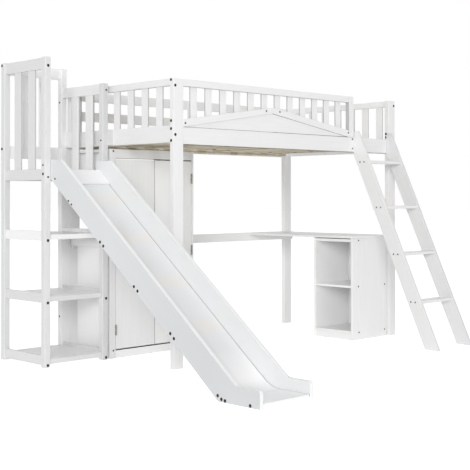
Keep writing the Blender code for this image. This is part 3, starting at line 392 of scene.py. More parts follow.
class Wiring:
    """Short ways to add and join the nodes of one material."""

    def __init__(self, name: str) -> None:
        """Starts a material with one shader.

        Args:
            name: Name of the material.
        """
        self.material = bpy.data.materials.new(name)
        self.material.use_nodes = True
        self.tree = self.material.node_tree
        self.shader = self.tree.nodes["Principled BSDF"]

    def node(
        self, kind: str, inputs: dict[str | int, object] | None = None, **settings: object
    ) -> bpy.types.Node:
        """Adds a node, sets it up and joins its inputs.

        Args:
            kind: Blender's name of the node's type.
            inputs: Values or output sockets for its inputs.
            **settings: Values of its own settings.

        Returns:
            The node.
        """
        made = self.tree.nodes.new(kind)
        for key, value in settings.items():
            setattr(made, key, value)
        for key, value in (inputs or {}).items():
            self.feed(made.inputs[key], value)
        return made

    def feed(self, socket: Socket, value: object) -> None:
        """Joins a socket to an output, or sets its value."""
        if isinstance(value, Socket):
            self.tree.links.new(value, socket)
        else:
            socket.default_value = value

    def rim(self) -> Socket:
        """How strongly an edge is rounded, as the mesh holds it."""
        return self.node("ShaderNodeAttribute", attribute_name="rim").outputs["Fac"]

    def across(self) -> Socket:
        """The place across the bed, in the piece's own frame."""
        place = self.node("ShaderNodeTexCoord").outputs["Object"]
        return self.node("ShaderNodeSeparateXYZ", {"Vector": place}).outputs["Y"]

    def flatness(self, axis: Axis) -> Socket:
        """How squarely a face looks along an axis, in the piece's own frame.

        Args:
            axis: The axis.

        Returns:
            From nought to one.
        """
        normal = self.node("ShaderNodeTexCoord").outputs["Normal"]
        sides = self.node("ShaderNodeSeparateXYZ", {"Vector": normal}).outputs
        return self.maths("ABSOLUTE", sides[axis.name])

    def stretched(self, factors: Point) -> Socket:
        """The place in the board's own grain, scaled along and across."""
        place = self.node("ShaderNodeAttribute", attribute_name="grain").outputs["Vector"]
        return self.node("ShaderNodeMapping", {"Vector": place, "Scale": tuple(factors)}).outputs["Vector"]

    def noise(
        self, along: float, across: float, scale: float, detail: float = 3.0, distortion: float = 0.0
    ) -> Socket:
        """A soft random pattern from nought to one, laid along the board's grain.

        Args:
            along: How densely it is laid along the fibres.
            across: How densely it is laid across them.
            scale: Size of the pattern, larger for finer.
            detail: Number of finer layers.
            distortion: How far it is bent.

        Returns:
            The number.
        """
        place = self.stretched((along, across, across))
        fed = {"Vector": place, "Scale": scale, "Detail": detail, "Distortion": distortion}
        return self.node("ShaderNodeTexNoise", fed).outputs["Fac"]

    def spread(
        self, source: Socket, low: float, high: float, to_low: float = 0.0, to_high: float = 1.0
    ) -> Socket:
        """A number moved from one range to another and held inside it."""
        fed = {"Value": source, "From Min": low, "From Max": high, "To Min": to_low, "To Max": to_high}
        return self.node("ShaderNodeMapRange", fed).outputs["Result"]

    def maths(self, operation: str, *values: object) -> Socket:
        """The result of one step of arithmetic."""
        return self.node("ShaderNodeMath", dict(enumerate(values)), operation=operation).outputs[0]

    def product(self, first: object, second: object) -> Socket:
        """Two numbers multiplied."""
        return self.maths("MULTIPLY", first, second)

    def total(self, first: object, second: object) -> Socket:
        """Two numbers added."""
        return self.maths("ADD", first, second)

    def blend(self, share: object, first: object, second: object) -> Socket:
        """A colour between two colours."""
        fed = {"Factor": share, 6: first, 7: second}
        return self.node("ShaderNodeMix", fed, data_type="RGBA").outputs[2]

    def finished(
        self, colour: object, gloss: object, height: Socket, depth: float, strength: float
    ) -> bpy.types.Material:
        """Joins the colour, the roughness and a bump of a real depth to the shader.

        Args:
            colour: Base colour.
            gloss: Roughness.
            height: The bump's pattern.
            depth: Its depth in metres.
            strength: Its strength.

        Returns:
            The material.
        """
        bump = self.node("ShaderNodeBump", {"Height": height, "Distance": depth, "Strength": strength})
        self.feed(self.shader.inputs["Base Color"], colour)
        self.feed(self.shader.inputs["Roughness"], gloss)
        self.feed(self.shader.inputs["Normal"], bump.outputs["Normal"])
        return self.material


def tone(red: float, green: float, blue: float) -> Colour:
    """A linear colour with full cover."""
    return (red, green, blue, 1.0)


@dataclass(frozen=True)
class WhitePaint:
    """White satin paint on planed wood, through which the grain just shows.

    Attributes:
        name: Name of the material.
        cover: Colour of the paint.
        valley: Colour of the paint where the grain sinks.
        worn: Colour along rubbed edges; on the slide's boards a painted highlight.
        clear: Colour of the cleanest places.
        gloss: Roughness of the paint.
        depth: Depth of the grain.
        band: How strongly the faces that do not look along broad take the side colour.
        side: Colour of those faces: painted shade where darker than the cover, painted highlight where
            lighter.
        broad: The axis that the broad faces look along.
        fade: Two places across the bed; from the first to the second the paint turns to deep, a painted
            shade.
        deep: Colour of the painted shade at the second place.
    """

    name: str = "white_paint"
    cover: Colour = tone(0.895, 0.896, 0.894)
    valley: Colour = tone(0.865, 0.866, 0.862)
    worn: Colour = tone(0.80, 0.795, 0.780)
    clear: Colour = tone(0.905, 0.907, 0.907)
    gloss: float = 0.38
    depth: float = 0.00012
    band: float = 0.0
    side: Colour = tone(0.55, 0.56, 0.56)
    broad: Axis = Axis.X
    fade: tuple[float, float] | None = None
    deep: Colour = tone(0.66, 0.675, 0.685)

    def made(self) -> bpy.types.Material:
        """Makes the material with its grain, cloudiness, brush marks and rubbed edges.

        Returns:
            The material.
        """
        wire = Wiring(self.name)
        fibres = wire.noise(2.2, 75.0, 2.6, 5.0, 0.35)
        pores = wire.noise(14.0, 420.0, 1.6, 2.0)
        cloud = wire.noise(1.6, 5.0, 1.3, 3.0)
        film = wire.noise(260.0, 260.0, 1.5, 2.0)
        line = wire.spread(fibres, 0.42, 0.62)
        shade = wire.blend(line, self.valley, self.cover)
        shade = wire.blend(wire.spread(cloud, 0.35, 0.75, 0.0, 0.35), shade, self.clear)
        # Painted shade: darker from the first place to the second across the bed.
        if self.fade:
            shade = wire.blend(wire.spread(wire.across(), *self.fade), shade, self.deep)
        # Painted shade and painted highlight on the faces that do not look along broad.
        if self.band:
            side_shade_mask = wire.spread(wire.flatness(self.broad), 0.35, 0.75, self.band, 0.0)
            shade = wire.blend(side_shade_mask, shade, self.side)
        # Rounded edges take the worn colour: rubbed paint, and a painted highlight where that colour is
        # lighter.
        rubbed = wire.product(wire.rim(), wire.spread(cloud, 0.45, 0.70, 0.15, 0.75))
        sheen = wire.spread(pores, 0.3, 0.7, self.gloss - 0.05, self.gloss + 0.07)
        sheen = wire.total(sheen, wire.product(rubbed, -0.06))
        fine = wire.total(wire.product(pores, 0.25), wire.product(film, 0.12))
        height = wire.total(wire.product(fibres, 0.8), fine)
        wire.shader.inputs["IOR"].default_value = 1.48
        return wire.finished(wire.blend(rubbed, shade, self.worn), sheen, height, self.depth, 0.7)


@dataclass(frozen=True)
class SlideGloss:
    """A glossy white board that children slide on, with faint rub marks down its length.

    Attributes:
        name: Name of the material.
        cover: Colour of the surface.
        rubbed: Colour where it is rubbed.
        warm: Colour of the painted light in bands at the battens' pitch.
        first: Place of the lowest batten, across the bed.
        pitch: Distance of the battens, across the bed.
        foot: Where the run-out begins, across the bed.
        head: Where the cover plate begins, across the bed.
        bright: Colour of the painted light on the run-out and the plate.
    """

    name: str = "slide_gloss"
    cover: Colour = tone(0.805, 0.817, 0.826)
    rubbed: Colour = tone(0.778, 0.790, 0.800)
    warm: Colour = tone(0.835, 0.818, 0.788)
    first: float = -0.793
    pitch: float = 0.284
    foot: float = -0.64
    head: float = 0.448
    bright: Colour = tone(0.965, 0.965, 0.970)

    def made(self) -> bpy.types.Material:
        """Makes the material with its rub marks, haze and clear coat.

        Returns:
            The material.
        """
        wire = Wiring(self.name)
        marks = wire.noise(1.2, 160.0, 2.0, 4.0, 0.2)
        haze = wire.noise(2.5, 7.0, 1.4, 3.0)
        fine = wire.noise(8.0, 600.0, 1.5, 2.0)
        shade = wire.blend(wire.spread(marks, 0.52, 0.72, 0.0, 0.5), self.cover, self.rubbed)
        # Painted light: warm bands down the slope at the battens' pitch.
        turn = wire.product(wire.total(wire.across(), -self.first), 2 * math.pi / self.pitch)
        batten_light_wave = wire.maths("COSINE", turn)
        batten_light_bands = wire.total(batten_light_wave, wire.spread(haze, 0.3, 0.7, -0.10, 0.10))
        shade = wire.blend(wire.spread(batten_light_bands, 0.45, 0.85, 0.0, 0.75), shade, self.warm)
        # Painted light on the run-out at the foot and on the cover plate at the head.
        shade = wire.blend(wire.spread(wire.across(), self.foot, self.foot - 0.16), shade, self.bright)
        plate = wire.spread(wire.across(), self.head, self.head + 0.005, 0.0, 0.8)
        shade = wire.blend(plate, shade, self.bright)
        shade = wire.blend(wire.product(wire.rim(), 0.4), shade, tone(0.84, 0.84, 0.84))
        sheen = wire.total(wire.spread(haze, 0.3, 0.7, 0.12, 0.24), wire.product(fine, 0.05))
        wire.shader.inputs["Coat Weight"].default_value = 0.5
        wire.shader.inputs["Coat Roughness"].default_value = 0.08
        return wire.finished(shade, sheen, wire.total(haze, wire.product(marks, 0.1)), 0.0004, 0.5)


@dataclass(frozen=True)
class BarePine:
    """Planed pine without paint: early and late wood, fine fibres and knots.

    Attributes:
        name: Name of the material.
        early: Colour of the early wood.
        late: Colour of the late wood.
        pale: Colour of clear wood between the knots.
        deep: Colour that a board of darker wood leans to.
        knot: Colour of a knot.
    """

    name: str = "bare_pine"
    early: Colour = tone(0.76, 0.70, 0.56)
    late: Colour = tone(0.46, 0.39, 0.26)
    pale: Colour = tone(0.90, 0.82, 0.70)
    deep: Colour = tone(0.30, 0.24, 0.12)
    knot: Colour = tone(0.12, 0.08, 0.04)

    def made(self) -> bpy.types.Material:
        """Makes the material with its year rings, fibres and knots.

        Returns:
            The material.
        """
        wire = Wiring(self.name)
        sway = wire.noise(0.55, 9.0, 1.1, 2.0)
        fed = {"Vector": wire.stretched((0.35, 26.0, 26.0)), "Scale": 1.0}
        fed |= {"Distortion": 5.0, "Detail": 2.0, "Detail Scale": 0.6}
        rings = wire.node("ShaderNodeTexWave", fed, wave_type="RINGS").outputs["Fac"]
        fibres = wire.noise(5.0, 260.0, 1.8, 4.0)
        shade = wire.blend(wire.spread(rings, 0.25, 0.95), self.early, self.late)
        shade = wire.blend(wire.spread(fibres, 0.4, 0.7, 0.0, 0.35), shade, self.late)
        shade = wire.blend(wire.spread(sway, 0.35, 0.7, 0.0, 0.35), shade, self.pale)
        board = wire.noise(0.15, 0.15, 1.0, 1.0)
        shade = wire.blend(wire.spread(board, 0.40, 0.62, 0.0, 0.50), shade, self.deep)
        fed = {"Vector": wire.stretched((8.0, 24.0, 24.0)), "Scale": 1.0}
        spot = wire.node("ShaderNodeTexVoronoi", fed).outputs["Distance"]
        shade = wire.blend(wire.spread(spot, 0.12, 0.24, 0.9, 0.0), shade, self.knot)
        sheen = wire.spread(fibres, 0.3, 0.7, 0.50, 0.66)
        return wire.finished(shade, sheen, wire.total(fibres, wire.product(rings, 0.5)), 0.0002, 0.6)


@dataclass(frozen=True)
class DarkSteel:
    """Blackened or plated steel of the fittings.

    Attributes:
        name: Name of the material.
        cover: Colour of the metal.
        gloss: Roughness of the metal.
        metal: Share of bare metal.
    """

    name: str = "black_bolt"
    cover: Colour = tone(0.030, 0.028, 0.026)
    gloss: float = 0.36
    metal: float = 0.85

    def made(self) -> bpy.types.Material:
        """Makes the material with fine brushing and brighter rubbed patches.

        Returns:
            The material.
        """
        wire = Wiring(self.name)
        cloud = wire.noise(90.0, 90.0, 1.4, 3.0)
        lines = wire.noise(60.0, 1400.0, 1.2, 2.0)
        red, green, blue, cover = self.cover
        bright = (red * 1.9, green * 1.8, blue * 1.7, cover)
        shade = wire.blend(wire.spread(cloud, 0.4, 0.7), self.cover, bright)
        sheen = wire.spread(lines, 0.3, 0.7, self.gloss - 0.08, self.gloss + 0.10)
        wire.shader.inputs["Metallic"].default_value = self.metal
        return wire.finished(shade, sheen, lines, 0.00003, 0.5)


class Slot(Enum):
    """The record's material slots."""

    PAINT = "white_lacquer"
    DECK = "slide_surface"
    PINE = "pine"
    HINGE = "hinge_metal"
    TUBE = "steel_tube"


@dataclass
class Workshop:
    """Keeps the finishes and puts surfaces into the scene as pieces.

    Attributes:
        finishes: The usual finish of each slot.
        paints: Other finishes, by name.
        count: Number of the board made last.
    """

    finishes: dict[Slot, bpy.types.Material] = field(default_factory=dict)
    paints: dict[str, bpy.types.Material] = field(default_factory=dict)
    count: int = 0

    def __post_init__(self) -> None:
        """Makes every finish once."""
        finishes = {
            Slot.PAINT: WhitePaint(),
            Slot.DECK: SlideGloss(),
            Slot.PINE: BarePine(),
            Slot.HINGE: DarkSteel("hinge_bronze", tone(0.24, 0.23, 0.22), 0.42, 0.8),
            Slot.TUBE: DarkSteel("steel_tube", tone(0.55, 0.55, 0.56), 0.22, 1.0),
        }
        # Painted highlight: the pale colour of the slide boards' rounded edges and thin sides.
        pale = tone(0.965, 0.970, 0.975)
        # Painted shade: the slide's outer board a tone darker, the inner board a little darker than the
        # common white.
        outer = (tone(0.745, 0.762, 0.772), tone(0.728, 0.745, 0.755), pale, tone(0.775, 0.792, 0.800))
        inner = (tone(0.880, 0.890, 0.893), tone(0.862, 0.872, 0.876), pale, tone(0.905, 0.912, 0.915))
        # Painted light: a lighter copy of the white for posts, boards and insides that sit in shade.
        bright = (tone(0.965, 0.968, 0.966), tone(0.945, 0.948, 0.945))
        bright += (tone(0.88, 0.875, 0.865), tone(0.970, 0.972, 0.972))
        # Painted light: a lighter copy for the wardrobe's left side boards.
        panel = (tone(0.930, 0.932, 0.930), tone(0.905, 0.907, 0.904))
        # Painted shade: a darker copy of the white for the tower, its shelves' rails, the right stringer, the
        # fascia and the stile.
        tower = (tone(0.775, 0.778, 0.778), tone(0.748, 0.751, 0.750))
        tower += (tone(0.72, 0.718, 0.710), tone(0.790, 0.793, 0.793))
        warm = tone(0.76, 0.756, 0.745)
        # Painted shade: darker copies for the ladder's left stringer and the left door.
        stringer = (tone(0.830, 0.832, 0.830), tone(0.804, 0.806, 0.803), warm, tone(0.840, 0.842, 0.842))
        door = (tone(0.835, 0.837, 0.835), tone(0.808, 0.810, 0.808), warm, tone(0.845, 0.847, 0.847))
        # Painted shade: a dark grey for the strips in the gaps along the slide deck and between the doors.
        shade_grey = (tone(0.35, 0.36, 0.37), tone(0.32, 0.33, 0.34))
        shade_grey += (tone(0.42, 0.42, 0.42), tone(0.37, 0.38, 0.39))
        paints = {
            # Copies of the paint with painted light and shade: band and side shade the sides of slats and
            # posts and light the slide boards' sides.
            "slide_left": WhitePaint("slide_outer_painted_light_shade", *outer, band=0.95, side=pale, fade=(0.0, -0.75)),
            "slide_right": WhitePaint("slide_inner_painted_light_shade", *inner, band=0.60, side=pale),
            "front_guard_side_shade": WhitePaint("front_guard_painted_side_shade", band=0.9, broad=Axis.Y),
            "end_guard_side_shade": WhitePaint("end_guard_painted_side_shade", band=0.9),
            "bright": WhitePaint("white_painted_light", *bright),
            "right_guard_light": WhitePaint("right_guard_painted_light", *bright, band=0.8),
            "back_post_lit": WhitePaint("back_post_painted_light_shade", *bright, band=0.9, side=tone(0.86, 0.86, 0.86)),
            "panel": WhitePaint("panel_painted_light", *panel),
            "stringer": WhitePaint("stringer_painted_shade", *stringer),
            "tower": WhitePaint("tower_painted_shade", *tower),
            "tower_post_shade": WhitePaint("tower_post_painted_shade", *tower, band=0.9, side=tone(0.66, 0.66, 0.66)),
            "tower_guard_shade": WhitePaint("tower_guard_painted_shade", *tower, band=0.8),
            "door_left": WhitePaint("door_left_painted_shade", *door),
            "shade_grey": WhitePaint("painted_shade_grey", *shade_grey),
            "bolt": DarkSteel(),
        }
        self.finishes = {slot: finish.made() for slot, finish in finishes.items()}
        self.paints = {name: finish.made() for name, finish in paints.items()}

    def next_seed(self) -> int:
        """A new number for a board's grain."""
        self.count += 1
        return self.count

    def place(
        self,
        name: str,
        surfaces: Sequence[Surface],
        slot: Slot,
        nodes: Sequence[str] = (),
        paint: str | None = None,
        body: str = FRAME_BODY,
        flat: bool = False,
    ) -> None:
        """Puts closed surfaces into the scene as one piece.

        Args:
            name: Name of the piece.
            surfaces: Its shells.
            slot: The record's slot for its finish.
            nodes: The frame's solids that it stands for.
            paint: Name of a finish other than the slot's.
            body: The body that it rides on.
            flat: Whether creases are found from the faces' angles.
        """
        shell = joined(surfaces)
        mesh = bpy.data.meshes.new(name)
        mesh.from_pydata((shell.points + CORNER).tolist(), [], shell.faces)
        mesh.attributes.new("grain", "FLOAT_VECTOR", "POINT").data.foreach_set("vector", shell.grain.ravel())
        mesh.attributes.new("rim", "FLOAT", "POINT").data.foreach_set("value", shell.rim)
        mesh.shade_smooth()
        if flat:
            mesh.set_sharp_from_angle(angle=math.radians(35))
        else:
            mesh.normals_split_custom_set_from_vertices(shell.normals.tolist())
        mesh.materials.append(self.paints[paint] if paint else self.finishes[slot])
        made = bpy.data.objects.new(name, mesh)
        bpy.context.scene.collection.objects.link(made)
        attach(made, body)
        if nodes:
            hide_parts(*nodes)
        LOG.info("%s: %d points on %s", name, len(shell.points), body)


def node_box(node: str) -> tuple[np.ndarray, np.ndarray]:
    """A solid's lowest and highest corners from the outer corner of the front left post.

    Args:
        node: Name of the solid.

    Returns:
        The two corners.
    """
    low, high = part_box(node)
    return np.array(low, float) - CORNER, np.array(high, float) - CORNER


@dataclass
class SubAssembly:
    """A group of pieces that one workshop makes.

    Attributes:
        shop: The workshop.
    """

    shop: Workshop

    def build(self) -> None:
        """Builds the pieces of the group."""
        raise NotImplementedError

    def board(self, low: Point, high: Point, edge: float = SOFT_EDGE, along: Axis | None = None) -> Surface:
        """An eased board with a grain of its own, see rounded_board."""
        return rounded_board(low, high, edge, along, self.shop.next_seed())

    def cut(
        self,
        corners: Iterable[tuple[float, float, float]],
        low: float,
        high: float,
        across: Axis,
        fibres: Point,
        edge: float = SOFT_EDGE,
        steps: int = 5,
    ) -> Surface:
        """A board cut to an outline with a grain of its own, see outline_board."""
        return outline_board(corners, low, high, across, fibres, edge, steps, self.shop.next_seed())

    def slats(
        self,
        starts: Iterable[float],
        width: float,
        across: tuple[float, float],
        upwards: tuple[float, float],
        run: Axis = Axis.Y,
    ) -> list[Surface]:
        """A row of upright boards.

        Args:
            starts: Where each board begins along the row.
            width: Width of each board.
            across: The two faces of the row.
            upwards: Lower and upper end of the boards.
            run: Direction of the row.

        Returns:
            The boards.
        """
        boards = []
        for start in starts:
            spans = [across, across, upwards]
            spans[run.value] = (start, start + width)
            low, high = zip(*spans)
            boards.append(self.board(low, high, THIN_EDGE))
        return boards

    def painted(
        self,
        name: str,
        boards: Sequence[Surface],
        nodes: Sequence[str] = (),
        paint: str | None = None,
        body: str = FRAME_BODY,
    ) -> None:
        """Places boards as one painted piece, see Workshop.place."""
        self.shop.place(name, boards, Slot.PAINT, nodes, paint, body)

    def solid(
        self, node: str, edge: float = SOFT_EDGE, along: Axis | None = None, paint: str | None = None
    ) -> None:
        """A single eased and painted board in the place of one solid.

        Args:
            node: Name of the solid.
            edge: Radius of its edges.
            along: Direction of its fibres.
            paint: Name of a paint other than the common white.
        """
        self.painted(f"{node}_board", [self.board(*node_box(node), edge, along)], [node], paint)


@dataclass
class BedFrame(SubAssembly):
    """Posts, rails and the slatted base of the mattress."""

    cleat_height: float = 0.024
    cleat_thick: float = 0.022
    slat_count: int = 12
    slat_width: float = 0.070
    slat_margin: float = 0.0597
    slat_inset: float = 0.0015
    keeper_thick: float = 0.006
    keeper_lift: float = 0.004
    keeper_drop: float = 0.010

    def build(self) -> None:
        """Builds the frame."""
        # The back posts take lighter copies of the paint as painted light; the right one's sides get painted
        # shade.
        paints = {"front_left": None, "front_right": None, "back_left": "bright", "back_right": "back_post_lit"}
        for corner, paint in paints.items():
            self.solid(f"post_{corner}", POST_EDGE, paint=paint)
        for rail in ("side_rail_front", "side_rail_back", "end_rail_left", "end_rail_right"):
            self.solid(rail)
        self.shop.place("slatted_base_boards", self.base(), Slot.PINE, ["slatted_base"])

    def base(self) -> list[Surface]:
        """The two cleats, the slats on them and a keeper under each slat's far end.

        Returns:
            The boards.
        """
        low, high = node_box("slatted_base")
        top = low[2] + self.cleat_height
        rear = high[1] - self.cleat_thick
        boards = [
            self.board(low, (high[0], low[1] + self.cleat_thick, top), THIN_EDGE),
            self.board((low[0], rear, low[2] + self.keeper_drop), (high[0], high[1], top), THIN_EDGE),
        ]
        last = high[0] - self.slat_margin - self.slat_width
        for x in np.linspace(low[0] + self.slat_margin, last, self.slat_count):
            near = (x, low[1] + self.slat_inset, top)
            far = (x + self.slat_width, high[1] - self.slat_inset, high[2])
            boards.append(self.board(near, far, THIN_EDGE))
            keeper = (x, rear - self.keeper_thick, low[2] + self.keeper_lift)
            end = (x + self.slat_width, rear + LAP, top + HAIR)
            boards.append(self.board(keeper, end, FINE_EDGE))
        return boards


@dataclass(frozen=True)
class Span:
    """Three places along the bed."""

    left: float
    middle: float
    right: float


@dataclass
class FrontGuard(SubAssembly):
    """The slatted guard along the front and the gable before it."""

    rail_height: float = 0.041
    rail_inset: float = 0.004
    rail_thick: float = 0.029
    slat_count: int = 12
    slat_width: float = 0.052
    slat_margins: tuple[float, float] = (0.0717, 0.0743)
    slat_inset: float = 0.0186
    slat_thick: float = 0.012
    end_width: float = 0.044
    band: float = 0.037
    eave: float = 0.045
    apex: float = 0.156
    joint: float = 0.0008
    joint_height: float = 0.0022
    rail_gap: float = 0.0025
    field_drop: float = 0.003
    tip_round: float = 0.0015
    eave_round: float = 0.004
    tail: float = 0.020

    def build(self) -> None:
        """Builds the guard and the gable."""
        low, high = node_box("guard_front")
        end = high[0] - self.end_width
        rail_low = (low[0], self.rail_inset, high[2] - self.rail_height)
        rail_high = (end, self.rail_inset + self.rail_thick, high[2] - SEAT)
        boards = [self.board(rail_low, rail_high), self.board((end, low[1], low[2]), high, POST_EDGE)]
        first, last = self.slat_margins
        starts = np.linspace(low[0] + first, end - last - self.slat_width, self.slat_count)
        across = (self.slat_inset, self.slat_inset + self.slat_thick)
        upwards = (low[2], high[2] - self.rail_height + SLAT_SINK)
        boards += self.slats(starts, self.slat_width, across, upwards, Axis.X)
        # The slats' sides take painted shade.
        self.painted("guard_front_boards", boards, ["guard_front"], "front_guard_side_shade")
        self.gable()

    def gable(self) -> None:
        """The triangular field and the two raking boards on it."""
        low, high = node_box("gable_field")
        left, right, base = low[0], high[0], low[2]
        middle = (left + right) / 2
        eave, apex = base + self.eave, base + self.apex
        field_corners = [
            (left, base, SHARP),
            (right, base, SHARP),
            (right, eave - self.field_drop, SHARP),
            (middle, apex - self.field_drop, self.eave_round),
            (left, eave - self.field_drop, SHARP),
        ]
        surface = self.cut(field_corners, low[1], high[1], Axis.Y, (1, 0, 0), THIN_EDGE)
        self.painted("gable_field_board", [surface], ["gable_field"])
        low, high = node_box("gable_board_left")
        inner = apex - self.band
        for side, way, start in (("left", -1, left), ("right", 1, right)):
            tip = middle + way * self.joint
            corners = [(start, base, SHARP), (tip, inner, self.tip_round)]
            corners += [(tip, apex, self.tip_round), (start, eave, self.eave_round)]
            fibres = (start - middle, 0.0, eave - apex)
            surface = self.cut(corners, low[1], high[1], Axis.Y, fibres, THIN_EDGE)
            self.painted(f"gable_{side}_raking_board", [surface], [f"gable_board_{side}"])
        self.joints(Span(left, middle, right), base, inner)

    def joints(self, span: Span, base: float, inner: float) -> None:
        """Dark shadow gaps along the gable's joints and under the front rail.

        Args:
            span: Left end, middle and right end of the gable.
            base: Height of the rail's top.
            inner: Height where the lower edges of the raking boards meet.
        """
        face = node_box("gable_field")[0][1]
        rail_low, rail_high = node_box("side_rail_front")
        near, far = face - self.joint, face + 0.003
        slope = (inner - base) / (span.right - span.middle)
        stop, lift = span.right - self.tail, base + self.tail * slope
        tall, thin = self.joint_height, self.joint_height * 0.6
        raking = [
            (span.middle, inner - thin, 0.0),
            (span.middle, inner + LAP, 0.0),
            (stop, lift + LAP, 0.0),
            (stop, lift - thin * 0.7, 0.0),
        ]
        fibres = (span.right - span.middle, 0.0, base - inner)
        shade_low = (rail_low[0], rail_high[1] - 0.003, rail_low[2] - self.rail_gap)
        shade_high = (rail_high[0], rail_high[1] - SEAT, rail_low[2] + LAP)
        strips = [
            self.cut(raking, near, far, Axis.Y, fibres, GAP_EDGE, 2),
            self.board((span.middle, near, base), (span.right, far, base + tall), GAP_EDGE, Axis.X),
            self.board((span.left, near, base), (span.middle, far, base + thin), GAP_EDGE, Axis.X),
            self.board(shade_low, shade_high, 0.0003, Axis.X),
        ]
        self.painted("gable_shadow_gaps", strips, paint="bolt")


@dataclass
class EndGuards(SubAssembly):
    """The slatted guards at both ends and the boards along the back."""

    rail_height: float = 0.041
    slat_count: int = 7
    slat_width: float = 0.057
    slat_thick: float = 0.012
    margins: dict[str, tuple[float, float]] = field(
        default_factory=lambda: {"left": (0.0810, 0.0320), "right": (0.0580, 0.0784)}
    )
    # Both guards' slat sides take painted shade; the right guard is a lighter copy, painted light.
    finish: dict[str, str] = field(default_factory=lambda: {"left": "end_guard_side_shade", "right": "right_guard_light"})
    back_height: float = 0.062
    back_mid_lift: float = 0.086
    back_thick: float = 0.016
    stile_width: float = 0.060
    stile_thick: float = 0.011
    stile_start: float = 1.0199

    def build(self) -> None:
        """Builds the three guards."""
        for side, (first, last) in self.margins.items():
            low, high = node_box(f"guard_{side}")
            split = high[2] - self.rail_height
            boards = [self.board((low[0], low[1], split), high)]
            middle, half = (low[0] + high[0]) / 2, self.slat_thick / 2
            starts = np.linspace(low[1] + first, high[1] - last - self.slat_width, self.slat_count)
            across = (middle - half, middle + half)
            boards += self.slats(starts, self.slat_width, across, (low[2], split + SLAT_SINK))
            self.painted(f"guard_{side}_boards", boards, [f"guard_{side}"], self.finish[side])
        low, high = node_box("guard_back")
        face = high[1] - self.back_thick
        mid = low[2] + self.back_mid_lift
        foot = (self.stile_start, low[1], low[2])
        head = (self.stile_start + self.stile_width, low[1] + self.stile_thick, high[2] - LAP)
        boards = [
            self.board((low[0], face, high[2] - self.back_height), high),
            self.board((low[0], face, mid), (high[0], high[1], mid + self.back_height)),
            self.board(foot, head, THIN_EDGE),
        ]
        self.painted("guard_back_boards", boards, ["guard_back"])


